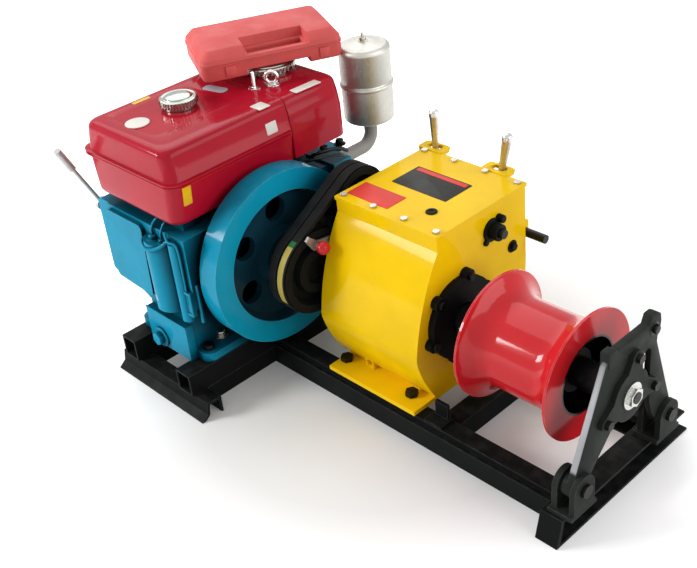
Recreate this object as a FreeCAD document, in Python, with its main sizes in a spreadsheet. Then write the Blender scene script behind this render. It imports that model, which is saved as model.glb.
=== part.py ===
import FreeCAD, Part
import math
import os
import Sketcher
from FreeCAD import Placement, Rotation, Vector
from fcgear import fcgear, involute

# Driving dimensions in millimetres. X runs along the shafts to the drum's free end, Y away from
# the operator, Z up. Lengths are measured from the floor, the drum axis and a skid datum along X.
SIZES = {
    # Where the object's own origin lies in these lengths
    "origin_along": 353.0, "origin_deep": -36.0,
    # Skid
    "steel": 5.0, "rail_near": -149.3, "rail_far": 195.0, "rail_width": 48.0, "rail_height": 50.6,
    "rail_start": 97.0, "bar_end": 902.0, "bar_inset": 8.9, "bar_width": 40.0, "bar_thick": 13.2,
    "cross_back": 911.0, "cross_front": 962.0, "cross_near": -203.0, "cross_far": 243.0,
    "cross_height": 60.0, "cross_lean": 17.0, "beam_start": 580.0, "beam_width": 50.0,
    "runner_start": -186.0, "runner_end": 144.0, "runner_toe": -409.0, "runner_back": -348.0,
    "sled_height": 42.0, "tube_near": -392.0, "tube_width": 50.0, "tube_height": 55.0,
    "tube_left": -166.0, "tube_right": 47.0, "tube_wall": 4.0,
    # Engine
    "crank_deep": -110.0, "crank_height": 298.0, "case_near": -330.0, "case_far": 60.0,
    "case_left": -215.0, "case_right": 85.0, "case_top": 415.0, "case_waist": 215.0,
    "sump_left": -100.0, "sump_right": 40.0, "foot_left": -172.0, "foot_right": 95.0,
    "foot_thick": 20.0, "foot_round": 22.0, "saddle_wide": 46.0, "cover_thick": 10.0,
    "head_length": 55.0, "block_length": 50.0,
    "cylinder_along": -60.0, "bore_radius": 47.5, "liner_wall": 7.0,
    "chamber_radius": 92.0, "chamber_left": -150.0, "chamber_right": 25.0,
    "ledge_deep": 20.0, "ledge_height": 187.0, "ledge_left": -97.0, "ledge_right": 53.0,
    "column_along": -17.0, "column_radius": 42.0, "column_sink": 14.0, "column_low": 212.0,
    "column_top": 387.0, "rib_along": 52.0, "rib_radius": 16.0, "rib_low": 205.0, "rib_top": 402.0,
    "drain_along": -50.0, "drain_height": 122.0,
    "journal_radius": 32.0, "bearing_wall": 12.0, "running_gap": 0.05, "throw": 57.5,
    "crankpin_radius": 25.0, "web_radius": 82.0, "web_thick": 22.0,
    "flywheel_radius": 206.0, "flywheel_start": 100.0, "flywheel_thick": 55.0, "rim_inner": 157.0,
    "web_start": 112.0, "flywheel_web": 18.0, "window_radius": 28.0, "window_circle": 112.0,
    # Fuel tank and radiator hood
    "tank_left": -236.0, "tank_right": 72.0, "tank_near": -330.0, "tank_split": 5.0,
    "tank_far": 171.0, "tank_bottom": 446.0, "tank_seam": 545.0, "tank_top": 612.0,
    "tank_flare": 10.0, "tank_taper": 4.0, "tank_wall": 4.0, "seam_lip": 10.0, "seam_thick": 6.0,
    "tank_crown": 14.0, "hood_rounding": 30.0, "split_rounding": 6.0, "hood_bottom": 472.0,
    "cap_along": -105.0, "cap_deep": -152.0, "cap_radius": 43.0, "cap_height": 30.0,
    "water_along": -95.0, "water_deep": 105.0, "water_radius": 60.0, "water_height": 24.6,
    "eye_along": -18.0, "eye_deep": 45.0, "eye_radius": 13.5, "eye_wire": 5.0,
    # Air cleaner
    "cleaner_along": 49.0, "cleaner_deep": 273.0, "cleaner_radius": 61.0, "cleaner_bottom": 461.0,
    "cleaner_top": 655.0, "elbow_radius": 16.0, "elbow_height": 395.0,
    # Belt drive
    "pulley_start": 205.0, "belt_width": 22.0, "belt_gap": 4.0, "belt_height": 14.0,
    "belt_slope": 4.0, "crank_belt": 101.0, "input_belt": 75.0, "belt_clear": 0.35,
    "input_deep": 35.0, "input_height": 412.0,
    # Gearbox
    "box_start": 270.0, "box_end": 556.0, "box_top": 462.0, "lid_thick": 8.0, "lid_near": -51.0,
    "lid_far": 226.0, "lip_height": 426.0, "belly": -131.5, "belly_height": 200.0,
    "heel": -75.0, "heel_height": 74.0, "far_wall": 225.0, "far_bend": 298.0, "far_heel": 148.0,
    "slope_radius": 547.0, "belly_radius": 333.0, "far_radius": 320.0, "box_wall": 9.0,
    "flange_near": -142.0, "flange_far": 200.0, "flange_thick": 10.2, "flange_start": 288.0,
    "flange_end": 548.0, "boss_depth": 12.0,
    "module_fast": 3.0, "module_slow": 4.0, "pinion_teeth": 15.0, "wheel_teeth": 45.0,
    "fast_start": 312.0, "fast_width": 34.0, "slow_start": 400.0, "slow_width": 48.0,
    "input_radius": 17.5, "counter_radius": 20.0, "output_radius": 30.0,
    "output_flange": 105.0, "output_flange_thick": 16.0,
    # Gear levers
    "lever_height": 430.0, "lever_tip": 548.0, "lever_radius": 8.0,
    "speed_along": 288.0, "shift_along": 472.0, "shift_tilt": 11.7, "grip_start": 470.0,
    "ear_half": 33.0, "ear_deep": 38.0, "ear_round": 16.0, "slot_half": 20.0, "slot_deep": 11.0,
    "selector_deep": 243.0, "selector_height": 330.0, "shift_deep": 113.0, "shift_height": 402.0,
    "rod_radius": 10.0, "plug_deep": 179.0, "filler_along": 481.0, "filler_deep": 17.0,
    # Drum and its shaft
    "drum_height": 250.0, "drum_start": 663.0, "drum_length": 218.0, "drum_flange": 137.0,
    "drum_waist": 98.0, "drum_bore": 79.0, "drum_rim": 5.0, "drum_flare": 56.0,
    "drum_flare_radius": 59.7, "collar_radius": 46.0, "stub_radius": 25.0,
    "thread_radius": 12.0, "shaft_end": 990.0,
    # Outboard support
    "support_start": 938.0, "support_thick": 26.0, "support_top": 380.0, "support_half": 88.0,
    "neck_half": 74.0, "arch_half": 60.0, "arch_top": 318.0, "foot_deep": 140.0,
    "pin_height": 116.0, "lug_radius": 24.0, "pin_radius": 9.0, "cheek_radius": 31.0,
    "cheek_thick": 12.0, "cheek_gap": 1.0, "plate_thick": 9.0, "housing_radius": 50.0,
    # Tool case
    "case_along": -121.5, "case_deep": 112.7, "case_bottom": 637.0, "case_length": 310.0,
    "case_width": 208.0, "tray_height": 35.0, "lid_height": 30.0, "case_wall": 4.0,
    "case_turn": 63.7,
}
PRESSURE_ANGLE = 20.0
TOOTH_THINNING = -0.06
PARTS_FOLDER = "parts"

doc = FreeCAD.newDocument("DieselWinch")
sheet = doc.addObject("Spreadsheet::Sheet", "Sizes")
pieces = []
# Small pieces that are gathered from several places into one sub-part each
pivots = []
drive_bolts = []


class Size:
    """A length that carries its value and the sheet expression behind it."""

    def __init__(self, text, value):
        self.text = text
        self.value = value

    def __add__(self, other):
        return Size(f"({self.text} + {text(other)})", self.value + value(other))

    def __sub__(self, other):
        return Size(f"({self.text} - {text(other)})", self.value - value(other))

    def __mul__(self, other):
        return Size(f"({self.text} * {text(other)})", self.value * value(other))

    def __truediv__(self, other):
        return Size(f"({self.text} / {text(other)})", self.value / value(other))

    def __radd__(self, other):
        return Size(text(other), other) + self

    def __rsub__(self, other):
        return Size(text(other), other) - self

    def __rmul__(self, other):
        return Size(text(other), other) * self

    def __neg__(self):
        return Size(f"(0 - {self.text})", -self.value)


def text(size):
    """The expression of a size, or of a plain number."""
    return size.text if isinstance(size, Size) else f"({float(size)})"


def value(size):
    """The number of a size, or the plain number itself."""
    return size.value if isinstance(size, Size) else float(size)


class Lengths:
    """The sheet's cells by name."""

    def __init__(self):
        for row, (name, number) in enumerate(SIZES.items(), start=1):
            sheet.set(f"A{row}", name)
            sheet.set(f"B{row}", str(number))
            sheet.setAlias(f"B{row}", name)
            setattr(self, name, Size(f"Sizes.{name}", number))
        doc.recompute()


d = Lengths()

# Directions of the primitives' own Z axis
TURN = {"x": Rotation(Vector(0, 1, 0), 90), "y": Rotation(Vector(1, 0, 0), -90), "z": Rotation()}
# Local X, Y, Z to the object's Y, Z, X
ACROSS = Rotation(Vector(1, 1, 1), 120)


def bind(item, **sizes):
    """Tie properties of a document object to the sheet."""
    for name, size in sizes.items():
        item.setExpression(name, text(size))


def place(item, x, y, z, rotation=Rotation()):
    """Put an object at a point given in the skid's lengths."""
    point = (x - d.origin_along, y - d.origin_deep, z)
    item.Placement = Placement(Vector(*(value(size) for size in point)), rotation)
    for axis, size in zip("xyz", point):
        item.setExpression(f".Placement.Base.{axis}", text(size))


def keep(item, label):
    """Make an object a sub-part under its own name."""
    item.Label = label
    pieces.append(item)
    return item


def box(x0, x1, y0, y1, z0, z1):
    item = doc.addObject("Part::Box", "Block")
    bind(item, Length=x1 - x0, Width=y1 - y0, Height=z1 - z0)
    place(item, x0, y0, z0)
    return item


def rod(axis, radius, length, x, y, z, rotation=None):
    item = doc.addObject("Part::Cylinder", "Rod")
    bind(item, Radius=radius, Height=length)
    place(item, x, y, z, rotation or TURN[axis])
    return item


def cone(low, high, length, x, y, z, rotation=Rotation()):
    item = doc.addObject("Part::Cone", "Cone")
    bind(item, Radius1=low, Radius2=high, Height=length)
    place(item, x, y, z, rotation)
    return item


def ball(radius, x, y, z):
    item = doc.addObject("Part::Sphere", "Ball")
    bind(item, Radius=radius)
    place(item, x, y, z)
    return item


def bolt_head(axis, radius, length, x, y, z):
    """A hexagon head or nut."""
    item = doc.addObject("Part::Prism", "Hexagon")
    item.Polygon = 6
    bind(item, Circumradius=radius, Height=length)
    place(item, x, y, z, TURN[axis])
    return item


def cut(base, *tools):
    for tool in tools:
        item = doc.addObject("Part::Cut", "Cut")
        item.Base = base
        item.Tool = tool
        base = item
    return base


def fuse(*items):
    item = doc.addObject("Part::MultiFuse", "Fusion")
    item.Shapes = list(items)
    item.Refine = True
    return item


def group(items):
    item = doc.addObject("Part::Compound", "Group")
    item.Links = list(items)
    return item


def ring(axis, outer, inner, length, x, y, z):
    return cut(rod(axis, outer, length, x, y, z), rod(axis, inner, length, x, y, z))


def new_body(x=0.0, y=0.0, z=0.0, rotation=Rotation()):
    body = doc.addObject("PartDesign::Body", "Body")
    place(body, x, y, z, rotation)
    return body


def open_sketch(body, plane, offset):
    sketch = body.newObject("Sketcher::SketchObject", "Sketch")
    support = next(item for item in body.Origin.OriginFeatures if item.Role == plane)
    sketch.AttachmentSupport = (support, [""])
    sketch.MapMode = "FlatFace"
    sketch.AttachmentOffset = Placement(Vector(0, 0, value(offset)), Rotation())
    sketch.setExpression(".AttachmentOffset.Base.z", text(offset))
    return sketch


def arc_between(start, end, radius):
    """The shorter arc; a positive radius has its centre on the left of the way from start to end."""
    chord = end - start
    left = Vector(-chord.y, chord.x, 0).normalize()
    rise = math.sqrt(radius ** 2 - chord.Length ** 2 / 4)
    centre = (start + end) * 0.5 + left * math.copysign(rise, radius)
    first, last = (start, end) if radius > 0 else (end, start)
    angles = [math.atan2(point.y - centre.y, point.x - centre.x) for point in (first, last)]
    return Part.ArcOfCircle(Part.Circle(centre, Vector(0, 0, 1), abs(radius)), *angles)


def outline(body, plane, points, offset=0.0, bulges=None):
    """A closed sketch through points; bulges gives the radius of the arc that leaves a point."""
    sketch = open_sketch(body, plane, offset)
    bulges = bulges or {}
    corners = [Vector(value(u), value(v), 0) for u, v in points]
    ends = []
    for index, corner in enumerate(corners):
        after = corners[(index + 1) % len(corners)]
        radius = bulges.get(index)
        if radius is None:
            sketch.addGeometry(Part.LineSegment(corner, after))
            ends.append((1, 2))
        else:
            sketch.addGeometry(arc_between(corner, after, value(radius)))
            ends.append((1, 2) if value(radius) > 0 else (2, 1))
    for index, (u, v) in enumerate(points):
        following = (index + 1) % len(points)
        sketch.addConstraint(
            Sketcher.Constraint("Coincident", index, ends[index][1], following, ends[following][0]))
        tie(sketch, Sketcher.Constraint("DistanceX", index, ends[index][0], value(u)), u)
        tie(sketch, Sketcher.Constraint("DistanceY", index, ends[index][0], value(v)), v)
        if index in bulges:
            radius = bulges[index]
            radius = radius if value(radius) > 0 else -radius
            tie(sketch, Sketcher.Constraint("Radius", index, value(radius)), radius)
    return sketch


def tie(sketch, constraint, size):
    number = sketch.addConstraint(constraint)
    sketch.setExpression(f"Constraints[{number}]", text(size))


def circles(body, plane, centres, radius, offset=0.0):
    """A sketch of equal circles."""
    sketch = open_sketch(body, plane, offset)
    for index, (u, v) in enumerate(centres):
        sketch.addGeometry(Part.Circle(Vector(value(u), value(v), 0), Vector(0, 0, 1), value(radius)))
        tie(sketch, Sketcher.Constraint("DistanceX", index, 3, value(u)), u)
        tie(sketch, Sketcher.Constraint("DistanceY", index, 3, value(v)), v)
        tie(sketch, Sketcher.Constraint("Radius", index, value(radius)), radius)
    return sketch


def pad(body, sketch, length, reverse=False):
    feature = body.newObject("PartDesign::Pad", "Pad")
    feature.Profile = sketch
    feature.Reversed = reverse
    bind(feature, Length=length)
    return feature


def pocket(body, sketch, length):
    """A cut along the sketch's own normal."""
    feature = body.newObject("PartDesign::Pocket", "Pocket")
    feature.Profile = sketch
    feature.Reversed = True
    bind(feature, Length=length)
    return feature


def revolve(body, sketch):
    """A full turn about the sketch's horizontal axis."""
    feature = body.newObject("PartDesign::Revolution", "Revolution")
    feature.Profile = sketch
    feature.ReferenceAxis = (sketch, ["H_Axis"])
    feature.Angle = 360.0
    return feature


def loft(body, sketches):
    feature = body.newObject("PartDesign::AdditiveLoft", "Loft")
    feature.Profile = sketches[0]
    feature.Sections = sketches[1:]
    feature.Ruled = True
    return feature


def fillet(body, radius, chosen):
    """Round the edges of the body's last feature for which chosen(edge) is true."""
    doc.recompute()
    base = body.Tip
    names = [f"Edge{n}" for n, edge in enumerate(base.Shape.Edges, start=1) if chosen(edge)]
    feature = body.newObject("PartDesign::Fillet", "Fillet")
    feature.Base = (base, names)
    bind(feature, Radius=radius)
    return feature


def along(direction):
    """A test for straight edges that run along a direction."""
    def chosen(edge):
        if not isinstance(edge.Curve, (Part.Line, Part.LineSegment)):
            return False
        way = edge.Vertexes[1].Point - edge.Vertexes[0].Point
        return abs(way.normalize().dot(direction)) > 0.99
    return chosen


def turned(label, profile, y, z, bulges=None):
    """A body of revolution about an axis along X; the profile is (x, radius) points."""
    body = new_body(0.0, y, z)
    revolve(body, outline(body, "XZ_Plane", profile, bulges=bulges))
    return keep(body, label) if label else body


def shape_part(label, shape, x, y, z, rotation=Rotation()):
    """A sub-part whose shape is worked out here from the sheet's values."""
    item = doc.addObject("Part::Feature", "Shape")
    item.Shape = shape
    place(item, x, y, z, rotation)
    return keep(item, label) if label else item


def polar(count, radius, first=0.0):
    """Points on a circle as pairs of lengths."""
    steps = [math.radians(first + 360.0 * index / count) for index in range(count)]
    return [(radius * math.cos(step), radius * math.sin(step)) for step in steps]


# Skid

def rails():
    """Two channels with their open sides facing each other, and the flat bars on them."""
    wide, high, steel = d.rail_width, d.rail_height, d.steel
    channels = []
    bars = []
    for low, hollow, edge in (
            (d.rail_near, d.rail_near + steel, d.rail_near + d.bar_inset),
            (d.rail_far - wide, d.rail_far - wide, d.rail_far - d.bar_inset - d.bar_width)):
        outer = box(d.rail_start, d.cross_back, low, low + wide, 0.0, high)
        inner = box(d.rail_start, d.cross_back, hollow, hollow + wide - steel, steel, high - steel)
        channels.append(cut(outer, inner))
        bars.append(box(d.rail_start, d.bar_end, edge, edge + d.bar_width, high, high + d.bar_thick))
    keep(group(channels), "rails")
    keep(group(bars), "rail_bars")


def front_cross_channel():
    body = new_body()
    near, far, lean, high, steel = d.cross_near, d.cross_far, d.cross_lean, d.cross_height, d.steel
    ends = [(near, 0.0), (far, 0.0), (far - lean, high), (near + lean, high)]
    pad(body, outline(body, "YZ_Plane", ends, d.cross_back), d.cross_front - d.cross_back)
    inside = [(near + steel * 2, steel), (far + steel, steel),
              (far + steel, high - steel), (near + lean + steel, high - steel)]
    pocket(body, outline(body, "YZ_Plane", inside, d.cross_back + steel), d.cross_front - d.cross_back)
    keep(body, "front_cross_channel")


def square_tube(x, y0, y1, z, wide, high):
    outer = box(x, x + wide, y0, y1, z, z + high)
    wall = d.tube_wall
    return cut(outer, box(x + wall, x + wide - wall, y0, y1, z + wall, z + high - wall))


def runner(toe, back, end):
    """A channel with its open side down and a flared toe along one edge."""
    body = new_body()
    inward = 1.0 if value(back) > value(toe) else -1.0
    steel, high = d.steel * inward, d.sled_height
    skin = [(toe, 0.0), (toe + steel * 3.6, d.steel * 2.8), (toe + steel * 4.6, high), (back, high),
            (back, 0.0), (back - steel, 0.0), (back - steel, high - d.steel),
            (toe + steel * 5.6, high - d.steel), (toe + steel * 4.8, d.steel * 2.2),
            (toe + steel * 2.0, 0.0)]
    pad(body, outline(body, "YZ_Plane", skin, d.runner_start), end - d.runner_start)
    return body


def skid():
    rails()
    front_cross_channel()
    x0, x1, wall, high = d.beam_start, d.beam_start + d.beam_width, d.steel, d.rail_height
    y0, y1 = d.rail_near + d.rail_width, d.rail_far - d.rail_width
    beam = cut(box(x0, x1, y0, y1, 0.0, high), box(x0 + wall, x1 - wall, y0, y1, wall, high - wall))
    top = high + d.bar_thick
    edge = d.rail_near + d.bar_inset
    foot = box(x0 - 6.0, x0 + 40.0, edge, edge + d.bar_width, top, top + wall)
    upright = box(x0, x0 + 34.0, edge + 30.0, edge + 38.0, top, top + 40.0)
    keep(beam, "drum_cross_beam")
    keep(fuse(foot, upright), "stop_bracket")
    keep(group([runner(d.runner_toe, d.runner_back, d.runner_end),
                runner(d.rail_far, d.rail_far - d.rail_width, d.rail_start)]), "runners")
    sides = (d.tube_left, d.tube_right)
    keep(group([square_tube(x, d.tube_near, d.rail_far, d.sled_height, d.tube_width, d.tube_height)
                for x in sides]), "engine_tubes")
    keep(group([square_tube(x, d.runner_back, d.rail_far - d.rail_width, 0.0, d.tube_width,
                            d.sled_height) for x in sides]), "floor_tubes")


# Engine

def crankcase():
    body = new_body()
    top_of_tubes = d.sled_height + d.tube_height
    foot_top = top_of_tubes + d.foot_thick
    front = [(d.foot_left, top_of_tubes), (d.foot_right, top_of_tubes), (d.foot_right, foot_top),
             (d.sump_right + 10.0, foot_top), (d.sump_right + 10.0, d.case_waist),
             (d.case_right, d.case_waist + 25.0), (d.case_right, d.case_top),
             (d.case_left + 12.0, d.case_top), (d.case_left - 8.0, d.case_waist + 4.0),
             (d.sump_left - 33.0, d.case_waist - 4.0), (d.sump_left, d.case_waist - 18.0),
             (d.sump_left, foot_top), (d.foot_left, foot_top)]
    pad(body, outline(body, "XZ_Plane", front, -d.case_near), d.case_far - d.case_near, reverse=True)
    feet = [value(d.foot_left), value(d.foot_right)]
    fillet(body, d.foot_round, lambda edge: along(Vector(0, 0, 1))(edge)
           and min(abs(edge.Vertexes[0].Point.x - x) for x in feet) < 0.5)
    near = d.case_near
    ledge = box(d.ledge_left, d.ledge_right, near - d.ledge_deep, near, top_of_tubes, d.ledge_height)
    column = rod("z", d.column_radius, d.column_top - d.column_low, d.column_along, near + d.column_sink,
                 d.column_low)
    rib = rod("z", d.rib_radius, d.rib_top - d.rib_low, d.rib_along, near, d.rib_low)
    block = box(d.cylinder_along - 70.0, d.cylinder_along + 125.0, d.case_far,
                d.case_far + d.block_length, d.crank_height - 90.0, d.case_top - 8.0)
    saddles = [box(d.cylinder_along - 120.0, d.cylinder_along + 110.0, y, y + d.saddle_wide,
                   d.case_top, top)
               for y, top in ((d.case_near + 30.0, d.tank_bottom), (d.case_far - 110.0, d.tank_bottom),
                              (d.case_far - d.saddle_wide, d.hood_bottom))]
    solid = fuse(body, block, ledge, column, rib, *saddles)
    crank = (d.crank_deep, d.crank_height)
    chamber = rod("x", d.chamber_radius, d.chamber_right - d.chamber_left, d.chamber_left, *crank)
    seat = d.journal_radius + d.bearing_wall
    seats = rod("x", seat, d.case_right - d.case_left - 10.0, d.case_left + 10.0, *crank)
    barrel = rod("y", d.bore_radius + d.liner_wall, d.case_far + d.block_length - d.crank_deep,
                 d.cylinder_along, d.crank_deep, d.crank_height)
    keep(cut(solid, chamber, seats, barrel), "crankcase")
    bearing = 40.0
    keep(group([ring("x", seat, d.journal_radius + d.running_gap, bearing, x, *crank)
                for x in (d.chamber_left - bearing - 5.0, d.case_right - bearing)]), "main_bearings")


def crankshaft():
    crank = (d.crank_deep, d.crank_height)
    web = d.web_thick
    middle = d.cylinder_along
    left = middle - web * 1.9
    right = middle + web * 0.9
    shaft_left = rod("x", d.journal_radius, left + web - d.case_left - 12.0, d.case_left + 12.0, *crank)
    shaft_right = rod("x", d.journal_radius, d.pulley_start + 40.0 - right, right, *crank)
    webs = [rod("x", d.web_radius, web, x, *crank) for x in (left, right)]
    pin = rod("x", d.crankpin_radius, right - left, left, d.crank_deep + d.throw, d.crank_height)
    keep(fuse(shaft_left, shaft_right, pin, *webs), "crankshaft")


def flywheel():
    x0, wide = d.flywheel_start, d.flywheel_thick
    web0, web1 = d.web_start, d.web_start + d.flywheel_web
    radius, inner, bore, hub = d.flywheel_radius, d.rim_inner, d.journal_radius, 62.0
    profile = [(x0, bore), (x0, hub), (web0, hub + 8.0), (web0, inner), (x0, inner + 8.0), (x0, radius),
               (x0 + wide, radius), (x0 + wide, inner), (web1, inner - 12.0), (web1, hub + 8.0),
               (x0 + wide, hub), (x0 + wide, bore)]
    body = new_body(0.0, d.crank_deep, d.crank_height)
    revolve(body, outline(body, "XZ_Plane", profile))
    centres = polar(6, d.window_circle.value, 30.0)
    pocket(body, circles(body, "YZ_Plane", centres, d.window_radius, x0), wide)
    keep(body, "flywheel")


def pulley_profile(rim, start, hub, bore, hub_start):
    """Half section of a two-groove pulley; rim is the belt's outer radius."""
    top = rim - 4.0
    wide, gap, slope, clear = d.belt_width, d.belt_gap, d.belt_slope, d.belt_clear
    floor = rim - d.belt_height - 3.0
    lower = slope * (rim - floor) / d.belt_height
    upper = slope * 4.0 / d.belt_height
    points = [(hub_start, bore), (hub_start, hub), (start - 3.0, hub), (start - 3.0, top)]
    for index in (0, 1):
        left = start + (wide + gap) * index - clear
        right = left + wide + clear * 2
        points += [(left + upper, top), (left + lower, floor), (right - lower, floor),
                   (right - upper, top)]
    end = start + wide * 2 + gap + 3.0
    return points + [(end, top), (end, top - 16.0), (end - 22.0, top - 24.0), (end - 22.0, hub + 4.0),
                     (end - 4.0, hub), (end - 4.0, bore)]


def drive_belt(label, start):
    """A V-belt loop: arcs round both pulleys and two straight runs."""
    wide, high, slope = d.belt_width.value, d.belt_height.value, d.belt_slope.value
    big, small = d.crank_belt.value, d.input_belt.value
    crank = Vector(0, d.crank_deep.value, d.crank_height.value)
    driven = Vector(0, d.input_deep.value, d.input_height.value)
    way = driven - crank
    span = way.Length
    way.normalize()
    across = Vector(0, -way.z, way.y)
    lean = (big - small) / span
    solids = []
    normals = []
    for side in (1.0, -1.0):
        normal = across * (side * math.sqrt(1.0 - lean ** 2)) + way * lean
        normals.append(normal)
        near, far = crank + normal * big, driven + normal * small
        solids.append(belt_section(near, normal, wide, high, slope).extrude(far - near))
    axis = Vector(1, 0, 0)
    wrap = math.degrees(2.0 * math.asin(lean))
    solids.append(belt_section(crank + normals[0] * big, normals[0], wide, high, slope)
                  .revolve(crank, axis, 180.0 + wrap))
    solids.append(belt_section(driven + normals[1] * small, normals[1], wide, high, slope)
                  .revolve(driven, axis, 180.0 - wrap))
    loop = solids[0].multiFuse(solids[1:]).removeSplitter()
    shape_part(label, loop, start, 0.0, 0.0)


def belt_section(point, normal, wide, high, slope):
    """The belt's trapezoid across its run, wide side outside."""
    inner = point - normal * high
    corners = [point, point + Vector(wide, 0, 0), inner + Vector(wide - slope, 0, 0),
               inner + Vector(slope, 0, 0)]
    return Part.Face(Part.makePolygon(corners + corners[:1]))


def belt_drive():
    crank = (d.crank_deep, d.crank_height)
    start = d.pulley_start
    crank_hub = d.flywheel_start + d.flywheel_thick
    turned("crank_pulley", pulley_profile(d.crank_belt, start, 52.0, d.journal_radius, crank_hub), *crank)
    input_axis = (d.input_deep, d.input_height)
    turned("input_pulley", pulley_profile(d.input_belt, start, 34.0, d.input_radius, start - 12.0),
           *input_axis)
    drive_belt("inner_drive_belt", start)
    drive_belt("outer_drive_belt", start + d.belt_width + d.belt_gap)


def engine_covers():
    near = d.case_near
    plate = new_body()
    face = [(d.case_left + 6.0, d.case_waist + 12.0), (d.sump_left + 30.0, d.case_waist + 4.0),
            (d.sump_left + 40.0, d.case_top - 8.0), (d.case_left + 18.0, d.case_top - 8.0)]
    pad(plate, outline(plate, "XZ_Plane", face, -near), d.cover_thick)
    fillet(plate, 12.0, along(Vector(0, 1, 0)))
    keep(plate, "rear_cover")
    side = new_body()
    face = [(d.case_left + 12.0, d.case_top), (d.case_left - 34.0, d.case_top),
            (d.case_left - 34.0, d.case_waist + 4.0), (d.case_left - 8.0, d.case_waist + 4.0)]
    pad(side, outline(side, "XZ_Plane", face, -(near + 4.0)), 330.0, reverse=True)
    fillet(side, 14.0, lambda edge: along(Vector(0, 1, 0))(edge)
           and edge.Vertexes[0].Point.x < value(d.case_left) - 30.0)
    keep(side, "gear_cover")
    head_near = d.case_far + d.block_length
    left, right = d.cylinder_along - 70.0, d.cylinder_along + 148.0
    low, high = d.crank_height - 84.0, d.case_top - 2.0
    head = box(left, right, head_near, head_near + d.head_length, low, high)
    keep(head, "cylinder_head")
    cover = new_body()
    face = [(left + 10.0, low + 14.0), (right - 70.0, low + 14.0), (right - 70.0, high - 14.0),
            (left + 10.0, high - 14.0)]
    pad(cover, outline(cover, "XZ_Plane", face, -(head_near + d.head_length)), 46.0, reverse=True)
    fillet(cover, 22.0, along(Vector(0, 1, 0)))
    keep(cover, "valve_cover")
    tubes = d.sled_height + d.tube_height + d.foot_thick
    spots = [(x, y) for x in (d.tube_left + 18.0, d.tube_right + 22.0)
             for y in (d.case_near + 24.0, d.case_far - 40.0)]
    bolts = [bolt_head("z", 13.0, 12.0, x, y, tubes) for x, y in spots]
    bolts.append(bolt_head("y", 15.0, 12.0, d.drain_along, near - d.ledge_deep - 12.0, d.drain_height))
    keep(group(bolts), "engine_bolts")


def hood_section(body, y0, y1, spread, z, near, far):
    """A rectangle of the hood at one height, wider by spread, with near and far corners rounded."""
    x0, x1 = d.tank_left - spread, d.tank_right + spread
    points = [(x0 + near, y0), (x1 - near, y0), (x1, y0 + near), (x1, y1 - far),
              (x1 - far, y1), (x0 + far, y1), (x0, y1 - far), (x0, y0 + near)]
    return outline(body, "XY_Plane", points, z, {1: near, 3: far, 5: far, 7: near})


def hood_loft(y0, y1, corners, levels, inset):
    """A solid through (height, spread) levels, drawn in by inset."""
    body = new_body()
    near, far = corners[0] - inset, corners[1] - inset
    loft(body, [hood_section(body, y0 + inset, y1 - inset, spread - inset, height, near, far)
                for height, spread in levels])
    return body


def hood_pan(y0, y1, corners):
    """The lower pressing, with the seam's lip round its rim."""
    wall, low, seam, flare, lip = d.tank_wall, d.tank_bottom, d.tank_seam, d.tank_flare, d.seam_lip
    outer = hood_loft(y0, y1, corners, [(low, 0.0), (seam, flare)], 0.0)
    rim = hood_loft(y0, y1, corners, [(seam - d.seam_thick, flare + lip), (seam, flare + lip)], 0.0)
    inner = hood_loft(y0, y1, corners, [(low + wall, 0.0), (seam, flare)], wall)
    return cut(fuse(outer, rim), inner)


def hood_top(y0, y1, corners):
    """The upper pressing, drawn in towards its crown."""
    wall, seam, top, flare = d.tank_wall, d.tank_seam, d.tank_top, d.tank_flare
    shoulder, crown = top - d.tank_crown, -d.tank_taper - d.tank_crown
    outer = hood_loft(y0, y1, corners, [(seam, flare), (shoulder, -d.tank_taper), (top, crown)], 0.0)
    inner = hood_loft(y0, y1, corners, [(seam, flare), (shoulder - wall, -d.tank_taper),
                                        (top - wall, crown)], wall)
    return cut(outer, inner)


def radiator_hood(y0, y1, corners):
    """The plain cover over the radiator, flush with the tank's seam."""
    wall, low, top, flare, crown = d.tank_wall, d.hood_bottom, d.tank_top, d.tank_flare, d.tank_crown
    outer = hood_loft(y0, y1, corners, [(low, flare), (top - crown, -d.tank_taper),
                                        (top, -d.tank_taper - crown)], 0.0)
    inner = hood_loft(y0, y1, corners, [(low + wall, flare), (top - crown, -d.tank_taper),
                                        (top - wall, -d.tank_taper - crown)], wall)
    return cut(outer, inner)


def hood():
    near, far = (d.tank_near, d.tank_split - 0.5), (d.tank_split, d.tank_far)
    corners = (d.hood_rounding, d.split_rounding)
    keep(hood_pan(*near, corners), "fuel_tank_pan")
    keep(hood_top(*near, corners), "fuel_tank_top")
    keep(radiator_hood(*far, corners[::-1]), "radiator_hood")
    screw_cap("filler_cap", d.cap_along, d.cap_deep, d.cap_radius, d.cap_height)
    screw_cap("radiator_cap", d.water_along, d.water_deep, d.water_radius, d.water_height)


def screw_cap(label, x, y, radius, height):
    """A pressed cap: neck, rolled rim and a raised middle."""
    profile = [(0.0, 0.0), (0.0, radius - 8.0), (height * 0.32, radius - 8.0), (height * 0.32, radius),
               (height * 0.7, radius), (height * 0.83, radius - 9.0), (height * 0.83, radius - 16.0),
               (height, radius - 22.0), (height, 0.0)]
    body = new_body(x, y, d.tank_top, Rotation(Vector(0, 1, 0), -90))
    revolve(body, outline(body, "XZ_Plane", profile))
    keep(body, label)


# Air cleaner

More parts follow.
